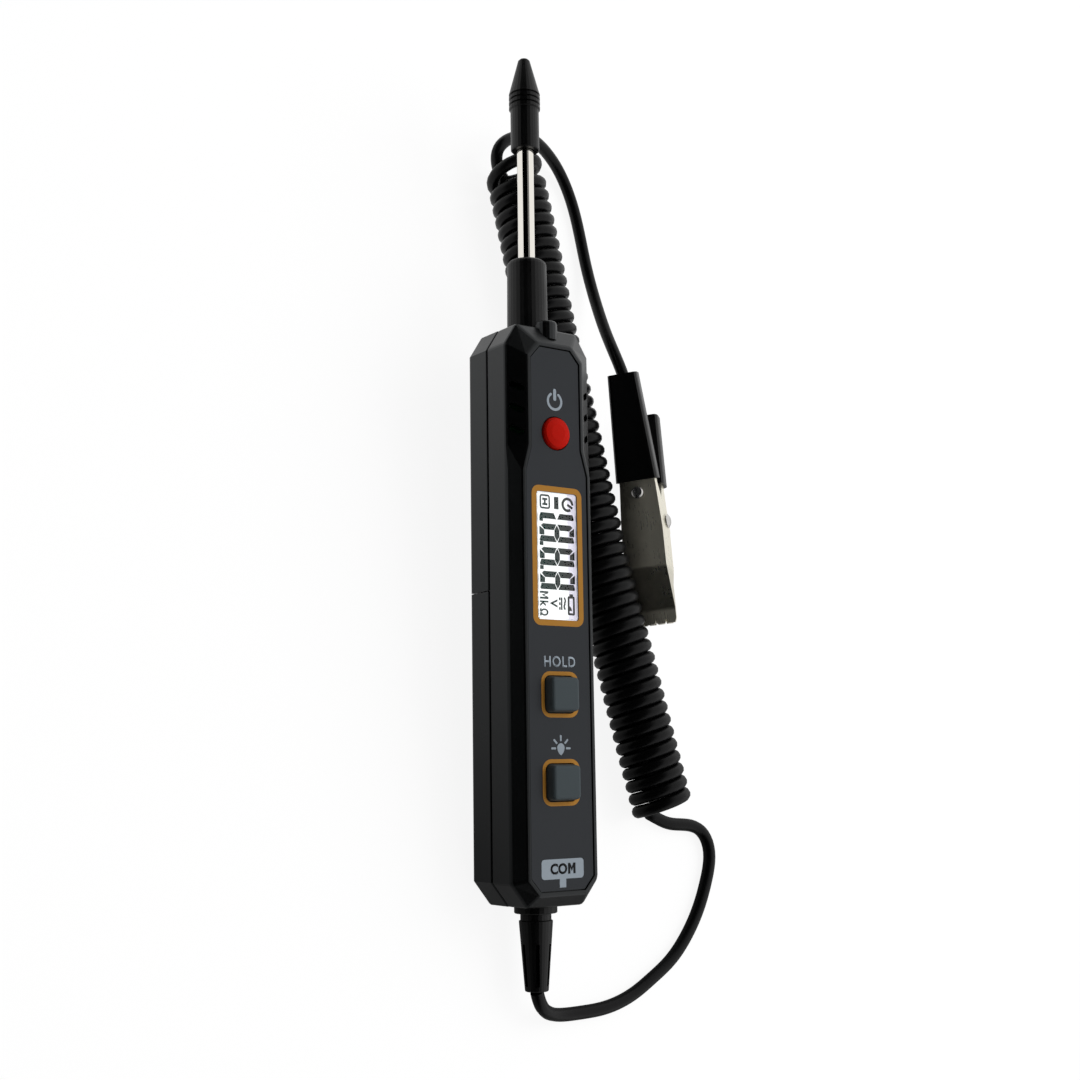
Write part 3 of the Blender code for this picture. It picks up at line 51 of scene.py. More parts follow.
camera_data = bpy.data.cameras.new("camera")
camera_data.lens = LENS
camera_data.sensor_width = SENSOR_WIDTH
camera = bpy.data.objects.new("camera", camera_data)
camera.location = CAMERA_PLACE
camera.rotation_euler = [radians(angle) for angle in CAMERA_TURN]
scene.collection.objects.link(camera)
scene.camera = camera
scene.view_settings.view_transform = "Standard"


# Curly lead
# One black vinyl lead, 3.7 mm thick, wound into 52 turns between two plain stretches. It leaves the tail's
# strain relief, lies on the table and ends in the crocodile clip. The turns touch, spread slightly towards
# the head, and the last one stands a little open.
MM = 0.001
TABLE_SHIFT = Vector((0.0, -0.108267, 0.0))
UP = Vector((0.0, 0.0, 1.0))
LEAD_DIAMETER = 3.7 * MM
BEVEL_STEPS = 4
TURNS = 52
POINTS_PER_TURN = 24
TURN_RADIUS = 7.2 * MM
TURN_PITCH = 3.72 * MM
TURN_SPREAD = 3.5 * MM
LOOSE_TURN = 3.2 * MM
FIRST_ANGLE = radians(-90)
COIL_START = LEAD_DIAMETER / 2 - 1.0 * MM
COIL_HEIGHT = 9.1 * MM
COIL_STEP = 0.5 * MM
PLAIN_STEP = 1.5 * MM
EASING_ROUNDS = 12

# Each route's points are in millimetres from the housing's tail, before the shift that centres the tester.
COIL_ROUTE = [(10.5, 218.0), (15.0, 191.8), (18.7, 166.5), (23.6, 140.7), (28.1, 114.5),
              (33.2, 87.6), (38.1, 66.6), (43.1, 43.7), (47.8, 22.9)]
TAIL_ROUTE = [(0.0, -23.4, 7.05), (0.6, -26.4, 6.5), (3.4, -29.0, 4.9), (9.7, -30.6, 2.4),
              (17.5, -30.6, 1.9), (26.5, -30.4, 1.9), (36.3, -27.9, 1.9), (43.9, -24.0, 1.9),
              (52.4, -19.2, 1.9), (59.8, -11.9, 1.9), (65.1, -4.5, 1.9), (68.8, 3.2, 1.9),
              (71.1, 8.9, 1.9), (70.9, 13.7, 1.9), (68.5, 17.6, 1.9), (64.7, 18.9, 1.9),
              (59.5, 19.1, 1.9), (54.2, 19.2, 1.85)]
CLIP_ROUTE = [(3.3, 221.6, 10.1), (7.3, 226.4, 10.6), (13.2, 229.6, 10.0), (18.9, 230.9, 8.5),
              (24.7, 230.1, 6.2), (31.1, 227.0, 3.9), (35.9, 221.4, 2.3), (38.7, 214.0, 1.9),
              (40.3, 205.0, 1.9), (41.3, 196.0, 2.2), (41.7, 187.6, 3.6), (41.2, 178.6, 6.6),
              (40.0, 169.4, 10.8), (39.0, 161.0, 15.2), (39.45, 153.4, 18.05), (39.7, 150.0, 18.7)]


def smooth_line(points, step):
    """Points about a step apart on a smooth curve through the given ones."""
    line = []
    for i in range(len(points) - 1):
        before, start = points[max(i - 1, 0)], points[i]
        end, after = points[i + 1], points[min(i + 2, len(points) - 1)]
        count = max(1, round((end - start).length / step))
        for k in range(count):
            t = k / count
            line.append(0.5 * (2 * start + (end - before) * t
                               + (2 * before - 5 * start + 4 * end - after) * t ** 2
                               + (3 * start - 3 * end + after - before) * t ** 3))
    line.append(points[-1])
    return line


def axis_at(distance):
    """The place on the coil's axis and the direction there, at a distance from its lower end."""
    passed = 0.0
    for start, end in zip(coil_axis, coil_axis[1:]):
        length = (end - start).length
        if passed + length >= distance:
            return start + (end - start) * ((distance - passed) / length), (end - start).normalized()
        passed += length
    direction = (coil_axis[-1] - coil_axis[-2]).normalized()
    return coil_axis[-1] + direction * (distance - passed), direction


def relaxed(line):
    """The same line with its bends evened out and its ends kept."""
    for _ in range(EASING_ROUNDS):
        inner = [(a + 2 * b + c) / 4 for a, b, c in zip(line, line[1:], line[2:])]
        line = [line[0]] + inner + [line[-1]]
    return line


coil_axis = smooth_line([Vector((x * MM, y * MM, COIL_HEIGHT)) for x, y in reversed(COIL_ROUTE)], COIL_STEP)
helix = []
for i in range(TURNS * POINTS_PER_TURN + 1):
    turn = i / POINTS_PER_TURN
    spread = TURN_SPREAD * (turn / TURNS) ** 4
    centre, along = axis_at(COIL_START + TURN_PITCH * turn + spread)
    side = along.cross(UP).normalized()
    angle = FIRST_ANGLE - 2 * pi * turn
    lift = LOOSE_TURN * sin(pi * max(0.0, turn - TURNS + 1)) ** 2
    centre = centre + along * lift
    helix.append(centre + TURN_RADIUS * (cos(angle) * side + sin(angle) * UP))
tail_line = smooth_line([Vector(point) * MM for point in TAIL_ROUTE] + helix[:1], PLAIN_STEP)
tail_line = relaxed(tail_line + helix[1:3])[:-3]
clip_line = smooth_line(helix[-1:] + [Vector(point) * MM for point in CLIP_ROUTE], PLAIN_STEP)
clip_line = relaxed(helix[-3:-1] + clip_line)[3:]
lead_line = [point + TABLE_SHIFT for point in tail_line + helix + clip_line]
lead_length = sum((b - a).length for a, b in zip(lead_line, lead_line[1:]))

lead_curve = bpy.data.curves.new("lead", "CURVE")
lead_curve.dimensions = "3D"
lead_curve.bevel_depth = LEAD_DIAMETER / 2
lead_curve.bevel_resolution = BEVEL_STEPS
lead_curve.use_fill_caps = True
spline = lead_curve.splines.new("POLY")
spline.points.add(len(lead_line) - 1)
for point, spot in zip(spline.points, lead_line):
    point.co = (*spot, 1.0)
spline.use_smooth = True
lead = bpy.data.objects.new("lead", lead_curve)
scene.collection.objects.link(lead)


class Signal:
    """A value or colour inside a finish, which plain arithmetic can use."""

    def __init__(self, finish, socket):
        self.finish = finish
        self.socket = socket

    def combine(self, operation, first, second):
        return self.finish.node("ShaderNodeMath", {"operation": operation}, {0: first, 1: second})

    def __add__(self, other):
        return self.combine("ADD", self, other)

    def __sub__(self, other):
        return self.combine("SUBTRACT", self, other)

    def __rsub__(self, other):
        return self.combine("SUBTRACT", other, self)

    def __mul__(self, other):
        return self.combine("MULTIPLY", self, other)

    def __gt__(self, other):
        return self.combine("GREATER_THAN", self, other)

    __radd__ = __add__
    __rmul__ = __mul__


class Finish:
    """A surface finish: one Principled shader, with node patterns on the object's own coordinates."""

    USUAL_NOISE = (0.3, 0.7)

    def __init__(self, name, colour, roughness, metallic=0.0, **settings):
        self.material = bpy.data.materials.new(name)
        self.material.use_nodes = True
        self.tree = self.material.node_tree
        self.shader = self.tree.nodes["Principled BSDF"]
        self.shader.inputs["Base Color"].default_value = (*colour, 1.0)
        self.shader.inputs["Roughness"].default_value = roughness
        self.shader.inputs["Metallic"].default_value = metallic
        for socket, value in settings.items():
            self.shader.inputs[socket.replace("_", " ")].default_value = value

    def node(self, kind, settings, inputs, output=0):
        """Adds a node with its settings and its sockets' values or links, and gives one output."""
        new = self.tree.nodes.new(kind)
        for name, value in settings.items():
            setattr(new, name, value)
        for socket, value in inputs.items():
            if isinstance(value, Signal):
                self.tree.links.new(value.socket, new.inputs[socket])
            else:
                new.inputs[socket].default_value = value
        return Signal(self, new.outputs[output])

    def place(self):
        return self.node("ShaderNodeTexCoord", {}, {}, "Object")

    def along(self, axis):
        """The place along the X, Y or Z axis, in metres."""
        return self.node("ShaderNodeSeparateXYZ", {}, {"Vector": self.place()}, axis)

    def stretched(self, scale):
        """The place scaled by its own factor along each axis, for a drawn or rolled pattern."""
        return self.node("ShaderNodeMapping", {}, {"Vector": self.place(), "Scale": scale})

    def noise(self, scale, detail=2.0, roughness=0.5, vector=None):
        inputs = {"Vector": vector or self.place(), "Scale": scale, "Detail": detail, "Roughness": roughness}
        return self.node("ShaderNodeTexNoise", {}, inputs, "Fac")

    def between(self, value, low, high, new_low=0.0, new_high=1.0):
        """Maps a value's range from low to high onto a new one, and holds it at the ends."""
        return self.node("ShaderNodeMapRange", {}, {0: value, 1: low, 2: high, 3: new_low, 4: new_high})

    def uneven(self, noise, low, high):
        """A value that a noise moves between a low and a high end."""
        return self.between(noise, *self.USUAL_NOISE, low, high)

    def blend(self, factor, first, second):
        """Mixes two plain colours."""
        colours = {6: (*first, 1.0), 7: (*second, 1.0)}
        return self.node("ShaderNodeMix", {"data_type": "RGBA"}, {0: factor, **colours}, 2)

    def bump(self, height, strength, distance):
        inputs = {"Height": height, "Strength": strength, "Distance": distance}
        self.feed("Normal", self.node("ShaderNodeBump", {}, inputs))

    def feed(self, socket, signal):
        self.tree.links.new(signal.socket, self.shader.inputs[socket])

    def cover(self, *objects):
        for thing in objects:
            thing.data.materials.clear()
            thing.data.materials.append(self.material)


vinyl = Finish("black_vinyl", (0.0026, 0.0026, 0.0029), 0.36, Specular_IOR_Level=0.16)
grain = vinyl.noise(900.0, detail=3.0, roughness=0.6)
smears = vinyl.noise(45.0)
vinyl.feed("Roughness", vinyl.uneven(smears, 0.30, 0.42))
vinyl.bump(grain, 0.12, 0.2 * MM)
vinyl.cover(lead)
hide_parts("lead_tail", "lead_coil", "lead_clip")
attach(lead, "tester")


# Housing
# Two moulded shells and a battery cover in black ABS, held together by screws from the back. The mould leaves
# a fine spark-eroded grain, which handling has polished unevenly.
moulded = Finish("moulded_black", (0.0018, 0.0018, 0.0019), 0.40, Specular_IOR_Level=0.40,
                 Specular_Tint=(0.92, 0.97, 1.0, 1.0))
spark = moulded.noise(5200.0, roughness=0.55)
handled = moulded.noise(38.0, detail=3.0)
moulded.feed("Roughness", moulded.uneven(handled, 0.27, 0.35))
moulded.feed("Base Color", moulded.blend(spark, (0.0011, 0.0012, 0.0013), (0.0024, 0.0025, 0.0027)))
moulded.bump(spark, 0.35, 0.04 * MM)
moulded.cover(nodes["front_shell"], nodes["rear_shell"], nodes["battery_cover"])


# Label
# A satin dark grey film, glued into the recess of the front. Its marks are screen-printed in light grey and
# gold ink, and the word on the grey field has the film's own dark colour.
LABEL_TOP = 22.0 * MM
INK = 0.03 * MM
INK_COLOURS = {"gold_ink": (0.440, 0.200, 0.028), "grey_ink": (0.330, 0.380, 0.430)}
THIN_INK = 0.93
FULL_INK = 1.07
FILM_WEAVE = 7000.0

film = Finish("satin_film", (0.0040, 0.0070, 0.0115), 0.34, Specular_IOR_Level=0.37)
film.feed("Roughness", film.uneven(film.noise(60.0), 0.30, 0.38))
film.bump(film.noise(FILM_WEAVE), 0.25, 0.02 * MM)
film.cover(nodes["face_label"])

inks = {}
for ink_name, colour in INK_COLOURS.items():
    ink = Finish(ink_name, colour, 0.45, Specular_IOR_Level=0.15)
    thin = [THIN_INK * part for part in colour]
    full = [FULL_INK * part for part in colour]
    ink.feed("Base Color", ink.blend(ink.noise(3000.0), thin, full))
    inks[ink_name] = ink

# The tester rests on the rounded edge at the back of its tail, with its head raised by the coil.
TILT = radians(5.5)
BACK_RADIUS = 1.3 * MM
heel = Vector((0.0, BACK_RADIUS, BACK_RADIUS))
tester = (Matrix.Translation(TABLE_SHIFT + heel) @ Matrix.Rotation(TILT, 4, "X")
          @ Matrix.Translation(-heel))
CORNER_STEPS = 6
ARC_STEPS = 28
LETTER_STEPS = 4


def rounded_plate(width, length, corner):
    """A flat plate with round corners. Its sizes are in millimetres, as are those of all the flat shapes."""
    bm = bmesh.new()
    bmesh.ops.create_grid(bm, x_segments=1, y_segments=1, size=0.5)
    bmesh.ops.scale(bm, vec=(width * MM, length * MM, 1.0), verts=bm.verts)
    bmesh.ops.bevel(bm, geom=list(bm.verts), offset=corner * MM, segments=CORNER_STEPS, profile=0.5,
                    affect="VERTICES", material=-1)
    return bm


def ring_plate(width, length, corner, stroke):
    """The rim of a rounded plate."""
    bm = rounded_plate(width, length, corner)
    inner = list(bm.faces)
    bmesh.ops.inset_region(bm, faces=inner, thickness=stroke * MM, use_even_offset=True,
                           use_boundary=True)
    bmesh.ops.delete(bm, geom=inner, context="FACES")
    return bm


def arc_plate(radius, stroke, start, sweep, steps=ARC_STEPS):
    """A flat band along part of a circle."""
    bm = bmesh.new()
    inner = bm.verts.new(((radius - stroke / 2) * MM, 0, 0))
    outer = bm.verts.new(((radius + stroke / 2) * MM, 0, 0))
    edge = bm.edges.new((inner, outer))
    bmesh.ops.rotate(bm, matrix=Matrix.Rotation(start, 3, "Z"), verts=bm.verts)
    bmesh.ops.spin(bm, geom=[inner, outer, edge], axis=(0, 0, 1), cent=(0, 0, 0), angle=sweep, steps=steps)
    return bm


def polygon_plate(points):
    """A flat plate with the given outline."""
    bm = bmesh.new()
    bm.faces.new([bm.verts.new((x * MM, y * MM, 0)) for x, y in points])
    return bm


def letters_plate(text, height, width, weight, spacing=1.0):
    """Text in Blender's own font as flat faces, centred and stretched to a height and a width."""
    curve = bpy.data.curves.new("letters", "FONT")
    curve.body = text
    curve.size = 1.0
    curve.offset = weight
    curve.space_character = spacing
    curve.resolution_u = LETTER_STEPS
    thing = bpy.data.objects.new("letters", curve)
    mesh = bpy.data.meshes.new_from_object(thing)
    bm = bmesh.new()
    bm.from_mesh(mesh)
    bpy.data.objects.remove(thing)
    bpy.data.curves.remove(curve)
    bpy.data.meshes.remove(mesh)
    low = Vector([min(vert.co[axis] for vert in bm.verts) for axis in range(3)])
    high = Vector([max(vert.co[axis] for vert in bm.verts) for axis in range(3)])
    rise = height * MM / (high.y - low.y)
    run = width * MM / (high.x - low.x)
    bmesh.ops.translate(bm, vec=-(low + high) / 2, verts=bm.verts)
    bmesh.ops.scale(bm, vec=(run, rise, 1.0), verts=bm.verts)
    return bm


def letter_m(width, height, stroke):
    """A capital M as one outline, centred, with its valley below the middle."""
    right = width / 2
    top = height / 2
    slope = 1.45 * stroke
    valley = -0.3 * height
    half = [(0, valley), (right - stroke, top - slope), (right - stroke, -top), (right, -top),
            (right, top), (right - stroke, top)]
    return polygon_plate(half + [(0, valley + slope)] + [(-x, y) for x, y in reversed(half[1:])])


def sheet_from(bm, middle, height, thickness, turn):
    """Gives flat faces a thickness, then turns them and puts them at their place on the front."""
    raised = bmesh.ops.extrude_face_region(bm, geom=list(bm.faces))["geom"]
    top = [item for item in raised if isinstance(item, bmesh.types.BMVert)]
    bmesh.ops.translate(bm, vec=(0, 0, thickness), verts=top)
    bmesh.ops.recalc_face_normals(bm, faces=bm.faces)
    bmesh.ops.rotate(bm, matrix=Matrix.Rotation(turn, 3, "Z"), verts=bm.verts)
    bmesh.ops.translate(bm, vec=(middle[0] * MM, middle[1] * MM, height), verts=bm.verts)
    return bm


def printed(bm, middle, turn=0.0, thickness=INK):
    """Prints a flat shape on the label, with its middle in millimetres across and from the tail."""
    return sheet_from(bm, middle, LABEL_TOP, thickness, turn)


def put_together(name, shapes, finish):
    """Joins placed shapes into one piece on the tester."""
    whole = bmesh.new()
    for shape in shapes:
        part = bpy.data.meshes.new("part")
        shape.to_mesh(part)
        whole.from_mesh(part)
        bpy.data.meshes.remove(part)
        shape.free()
    bmesh.ops.transform(whole, matrix=tester, verts=whole.verts)
    mesh = bpy.data.meshes.new(name)
    whole.to_mesh(mesh)
    whole.free()
    piece = bpy.data.objects.new(name, mesh)
    scene.collection.objects.link(piece)
    finish.cover(piece)
    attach(piece, "tester")


# Gold frames round the display and the two keys
DISPLAY_MIDDLE = (0.0, 93.3)
WINDOW_WIDTH = 13.6
WINDOW_LENGTH = 34.9
FRAME_STROKE = 1.65
FRAME_CORNER = 2.4
FRAME_GAP = 0.05
KEY_PLACES = (55.8, 32.5)
KEY_RING = 12.3
KEY_CORNER = 2.8
RING_STROKE = 1.05

display_frame = ring_plate(WINDOW_WIDTH + 2 * FRAME_STROKE, WINDOW_LENGTH + 2 * FRAME_STROKE, FRAME_CORNER,
                           FRAME_STROKE - FRAME_GAP)
frames = [printed(display_frame, DISPLAY_MIDDLE)]
for place in KEY_PLACES:
    frames.append(printed(ring_plate(KEY_RING, KEY_RING, KEY_CORNER, RING_STROKE), (0.0, place)))
put_together("gold_frames", frames, inks["gold_ink"])

# The power sign: an open ring with round ends, and a bar in its opening. Where printed shapes overlap, they
# differ in thickness, so that their tops don't lie in one plane.
POWER_MARK = (-0.2, 136.35)
POWER_RING = 2.3
POWER_STROKE = 0.72
POWER_OPENING = radians(34)
POWER_BAR = (1.0, 3.4, 0.49)
POWER_BAR_MIDDLE = (POWER_MARK[0] + 0.05, 138.2)
ROUND_END = (POWER_STROKE, POWER_STROKE, 0.499 * POWER_STROKE)
ROUND_END_INK = 1.2 * INK

power_ring = arc_plate(POWER_RING, POWER_STROKE, pi / 2 + POWER_OPENING, 2 * pi - 2 * POWER_OPENING)
marks = [printed(power_ring, POWER_MARK)]
for side in (-1, 1):
    end = (POWER_MARK[0] + side * POWER_RING * sin(POWER_OPENING),
           POWER_MARK[1] + POWER_RING * cos(POWER_OPENING))
    marks.append(printed(rounded_plate(*ROUND_END), end, thickness=ROUND_END_INK))
marks.append(printed(rounded_plate(*POWER_BAR), POWER_BAR_MIDDLE))

# The word by the upper key
HOLD_HEIGHT = 2.95
HOLD_WIDTH = 10.4
HOLD_WEIGHT = 0.02
HOLD_SPACING = 1.14
HOLD_MIDDLE = (0.05, 64.6)
marks.append(printed(letters_plate("HOLD", HOLD_HEIGHT, HOLD_WIDTH, HOLD_WEIGHT, HOLD_SPACING), HOLD_MIDDLE))

# The lamp sign: a bulb that narrows towards its foot, and five rays
LAMP_MARK = (0.0, 41.5)
BULB_RADIUS = 1.2 * MM
BULB_STRETCH = 1.62
BULB_FOOT = 1.95 * MM
BULB_TAPER = 0.35
BULB_RISE = 0.15
BULB_STEPS = 32
RAY_WIDTH = 0.55
RAY_CORNER = 0.2
RAYS = [(0, 1.9, 3.5), (45, 1.75, 3.35), (90, 1.65, 3.2), (-45, 1.75, 3.35), (-90, 1.65, 3.2)]

bulb = bmesh.new()
bmesh.ops.create_circle(bulb, cap_ends=True, segments=BULB_STEPS, radius=BULB_RADIUS)
for vert in bulb.verts:
    if vert.co.y < 0:
        vert.co.y *= BULB_STRETCH
        vert.co.x *= 1.0 - BULB_TAPER * (-vert.co.y / BULB_FOOT) ** 2
marks.append(printed(bulb, (LAMP_MARK[0], LAMP_MARK[1] + BULB_RISE)))
for angle, start, end in RAYS:
    turn = radians(angle)
    reach = (start + end) / 2
    middle = (LAMP_MARK[0] + reach * sin(turn), LAMP_MARK[1] + reach * cos(turn))
    marks.append(printed(rounded_plate(RAY_WIDTH, end - start, RAY_CORNER), middle, turn=-turn))

# The grey field at the tail with its stem, and the word on it
FIELD = (13.8, 5.15, 0.95)
FIELD_MIDDLE = (-0.05, 10.05)
STEM = (2.1, 2.3, 0.05)
STEM_MIDDLE = (-0.05, 6.4)
COMMON_ROUNDS = ("CO", 2.85, 5.5, 0.04)
COMMON_ROUNDS_MIDDLE = (-1.35, 10.1)
COMMON_M = (2.45, 2.8, 0.72)
COMMON_M_MIDDLE = (2.9, 10.1)
STEM_INK = 0.9 * INK
WORD_INK = 2 * INK

marks.append(printed(rounded_plate(*FIELD), FIELD_MIDDLE))
marks.append(printed(rounded_plate(*STEM), STEM_MIDDLE, thickness=STEM_INK))
put_together("grey_marks", marks, inks["grey_ink"])
common = Finish("film_grey_letters", (0.006, 0.007, 0.008), 0.45, Specular_IOR_Level=0.15)
common.bump(common.noise(FILM_WEAVE), 0.25, 0.02 * MM)
letters = [printed(letters_plate(*COMMON_ROUNDS), COMMON_ROUNDS_MIDDLE, thickness=WORD_INK),
           printed(letter_m(*COMMON_M), COMMON_M_MIDDLE, thickness=WORD_INK)]
put_together("common_letters", letters, common)


# Display
# A clear acrylic window over a lit liquid-crystal glass with dark segments. The glass is set back, so its
# segments are shifted to show at their places in the window. The window's cut sides are matt.
GLASS_TOP = 20.5 * MM
SEGMENT_THICKNESS = 0.02 * MM
VIEW_SHIFT = Vector((0.88, 0.21))
PANE_SIDE = 6.5 * MM
SIDE_NEAR = 0.01 * MM
SIDE_FAR = 0.04 * MM
MATT = 0.6
PALE_SIDE = (4.2 * MM, 4.7 * MM)
CLOUD_DEPTH = 0.2 * MM
# Where the segments' painted glow fades from dark green to black, across the display.
GLOW_FADE_SPAN = (-4.0 * MM, 5.0 * MM)
MOTTLE_DEPTH = 1.0 * MM

clear = Finish("clear_acrylic", (0.97, 0.98, 0.98), 0.03, Transmission_Weight=1.0, IOR=1.25,
               Specular_IOR_Level=0.12)
aside = clear.node("ShaderNodeMath", {"operation": "ABSOLUTE"}, {0: clear.along("X")})
matt_edge = (clear.between(aside, PANE_SIDE - SIDE_FAR, PANE_SIDE - SIDE_NEAR, 0.0, MATT)
             - clear.between(aside, PANE_SIDE + SIDE_NEAR, PANE_SIDE + SIDE_FAR, 0.0, MATT))
clear.feed("Roughness", clear.uneven(clear.noise(120.0), 0.02, 0.04) + matt_edge)
clear.cover(nodes["display_window"])

lit = Finish("lit_glass", (0.0, 0.0, 0.0), 0.2, Emission_Strength=1.0)
cloudy = lit.noise(90.0)
shade = lit.between(lit.along("X") + cloudy * CLOUD_DEPTH, *PALE_SIDE)
lit.feed("Emission Color", lit.blend(shade, (1.0, 1.02, 1.02), (0.72, 0.69, 0.80)))
lit.cover(nodes["lcd_glass"])

# Painted glow: the dark segments glow faintly to give their seen colour, dark green fading to black across
# the display.
segment = Finish("dark_segments", (0.0, 0.0, 0.0), 0.5, Emission_Strength=1.0, Specular_IOR_Level=0.0)
mottled = segment.noise(300.0)
glow_fade = segment.between(segment.along("X") + mottled * MOTTLE_DEPTH, *GLOW_FADE_SPAN)
segment.feed("Emission Color", segment.blend(glow_fade, (0.0, 0.020, 0.016), (0.0, 0.0, 0.0)))


def on_glass(bm, middle, lean=0.0):
    """Puts a flat shape on the glass, turned to read across the tester, where it shows at that place."""
    return sheet_from(bm, Vector(middle) + VIEW_SHIFT, GLASS_TOP, SEGMENT_THICKNESS, -pi / 2 - lean)


# The four digits, of which the first is a one, and their points. A point has a width, a length and a corner.
BAR = 1.65
SLIT = 0.15
DIGIT_HEIGHT = 11.8
DIGIT_WIDTH = 4.95
DIAMOND = 1.0
DIGIT_MIDDLE = -0.15
ONE = ("upper_right", "lower_right")
ONE_EDGE = 105.0
ONE_PLACE = ONE_EDGE + DIGIT_WIDTH / 2 - BAR
DIGITS = [(ONE_PLACE, ONE), (99.5, None), (93.0, None), (86.45, None)]
POINT = (1.05, 1.2, 0.08)
POINT_MIDDLE = -5.4
POINT_PLACES = (103.1, 96.45, 89.9)


def bar_shapes(width, height):
    """The seven bars of a digit as outlines. The right-hand ones keep the corners, the left ones are cut."""
    middle = height / 2
    corner = 0.2 * BAR
    step = 0.3 * BAR
    shave = 0.35 * BAR
    cut = 0.75 * BAR
    end = 1.2 * SLIT
    tip = 1.6 * SLIT
    inside = width - BAR
    rise = DIAMOND - SLIT
    right = [(width, middle + end), (width, height - corner), (width - corner, height),
             (inside, height - step), (inside, middle + DIAMOND)]
    left = [(0.0, middle + end), (0.0, height - cut), (shave, height - shave),
            (BAR, height - BAR), (BAR, middle + DIAMOND)]
    top = [(shave + SLIT, height), (inside - end, height), (inside - end, height - BAR),
           (BAR + SLIT, height - BAR)]
    centre = [(tip, middle), (BAR, middle + rise), (inside, middle + rise),
              (width - tip, middle), (inside, middle - rise), (BAR, middle - rise)]
    bars = {"upper_right": right, "upper_left": left, "top": top, "middle": centre}
    for lower, upper in (("lower_right", right), ("lower_left", left), ("bottom", top)):
        bars[lower] = [(x, height - y) for x, y in upper]
    return bars


segments = []
for place, wanted in DIGITS:
    for bar_name, outline in bar_shapes(DIGIT_WIDTH, DIGIT_HEIGHT).items():
        if wanted is None or bar_name in wanted:
            points = [(x - DIGIT_WIDTH / 2, y - DIGIT_HEIGHT / 2) for x, y in outline]
            segments.append(on_glass(polygon_plate(points), (DIGIT_MIDDLE, place)))
for place in POINT_PLACES:
    segments.append(on_glass(rounded_plate(*POINT), (POINT_MIDDLE, place)))

# The bars of the signs, each as its width, length, corner and middle
MINUS_SIGN = [(3.4, 1.5, 0.05, (-0.23, 107.9))]
HOLD_LETTER = [(0.6, 1.7, 0.05, (-4.1, 108.7)), (0.6, 1.7, 0.05, (-4.1, 107.3)),
               (1.5, 0.6, 0.05, (-4.1, 108.0))]
DIRECT_SIGN = [(0.75, 0.5, 0.05, (0.42, place)) for place in (81.55, 80.25, 78.95)]
DIRECT_SIGN.append((3.4, 0.5, 0.05, (1.05, 80.25)))
CELL_POLE = [(0.6, 1.2, 0.05, (4.35, 82.7))]
for width, length, corner, middle in MINUS_SIGN + HOLD_LETTER + DIRECT_SIGN + CELL_POLE:
    segments.append(on_glass(rounded_plate(width, length, corner), middle))

# The outlines round the held sign and of the cell, with the cell's filling
HOLD_BOX = (4.0, 3.5, 0.8, 0.5)
HOLD_BOX_MIDDLE = (-4.1, 108.0)
CELL = (5.2, 2.4, 0.45, 0.6)
CELL_MIDDLE = (4.3, 79.8)
CELL_FILLING = [(-0.3, -0.75), (1.2, -0.75), (1.2, 0.3), (0.4, 0.0)]
CELL_FILLING_MIDDLE = (4.3, 79.6)
segments.append(on_glass(ring_plate(*HOLD_BOX), HOLD_BOX_MIDDLE))
segments.append(on_glass(ring_plate(*CELL), CELL_MIDDLE))
segments.append(on_glass(polygon_plate(CELL_FILLING), CELL_FILLING_MIDDLE))

# The small power sign, which leans
SMALL_POWER_LEAN = radians(28)
SMALL_POWER_OPENING = radians(26)
SMALL_POWER_RING = 1.65
SMALL_POWER_STROKE = 0.78
SMALL_POWER_MIDDLE = (3.6, 107.75)
SMALL_POWER_BAR = (0.7, 2.0, 0.1)
SMALL_POWER_BAR_MIDDLE = (4.4, 107.3)
small_ring = arc_plate(SMALL_POWER_RING, SMALL_POWER_STROKE, pi / 2 + SMALL_POWER_OPENING,
                       2 * pi - 2 * SMALL_POWER_OPENING)
segments.append(on_glass(small_ring, SMALL_POWER_MIDDLE, SMALL_POWER_LEAN))
segments.append(on_glass(rounded_plate(*SMALL_POWER_BAR), SMALL_POWER_BAR_MIDDLE, SMALL_POWER_LEAN))

# The letters of the units, each as its height, width and middle
UNIT_M = (2.1, 2.8, 0.52)
UNIT_M_MIDDLE = (-4.8, 82.35)
UNITS = [("k", 2.8, 1.6, (-4.8, 80.0)), ("Ω", 2.75, 1.95, (-4.85, 77.7)), ("V", 2.4, 2.3, (-1.55, 80.25))]
UNIT_WEIGHT = 0.034
segments.append(on_glass(letter_m(*UNIT_M), UNIT_M_MIDDLE))
for symbol, height, width, middle in UNITS:
    segments.append(on_glass(letters_plate(symbol, height, width, UNIT_WEIGHT), middle))

# The wave of the alternating sign, as two arcs that bend opposite ways
WAVE_RADIUS = 0.95
WAVE_STROKE = 0.5
WAVE_SWEEP = radians(110)
WAVE_STEPS = 10
WAVES = [(radians(35), (1.35, 81.1)), (radians(215), (2.85, 79.5))]
for start, middle in WAVES:
    segments.append(on_glass(arc_plate(WAVE_RADIUS, WAVE_STROKE, start, WAVE_SWEEP, WAVE_STEPS), middle))
put_together("display_segments", segments, segment)


# Buttons
# A red moulded power button and two grey silicone keys, held in wells of the front shell. Each stands out of
# the label and works a push switch on the circuit board.
red = Finish("red_plastic", (0.49, 0.0064, 0.0015), 0.42, Specular_IOR_Level=0.05)
red.feed("Base Color", red.blend(red.noise(350.0), (0.46, 0.0059, 0.0013), (0.52, 0.0069, 0.0017)))
red.bump(red.noise(6000.0), 0.2, 0.03 * MM)
red.cover(nodes["power_button"])

silicone = Finish("grey_silicone", (0.055, 0.070, 0.077), 0.55, Specular_IOR_Level=0.2)
grain = silicone.noise(6500.0)
silicone.feed("Base Color", silicone.blend(grain, (0.050, 0.064, 0.070), (0.060, 0.076, 0.084)))
silicone.bump(grain, 0.3, 0.03 * MM)
silicone.cover(nodes["hold_button"], nodes["light_button"])


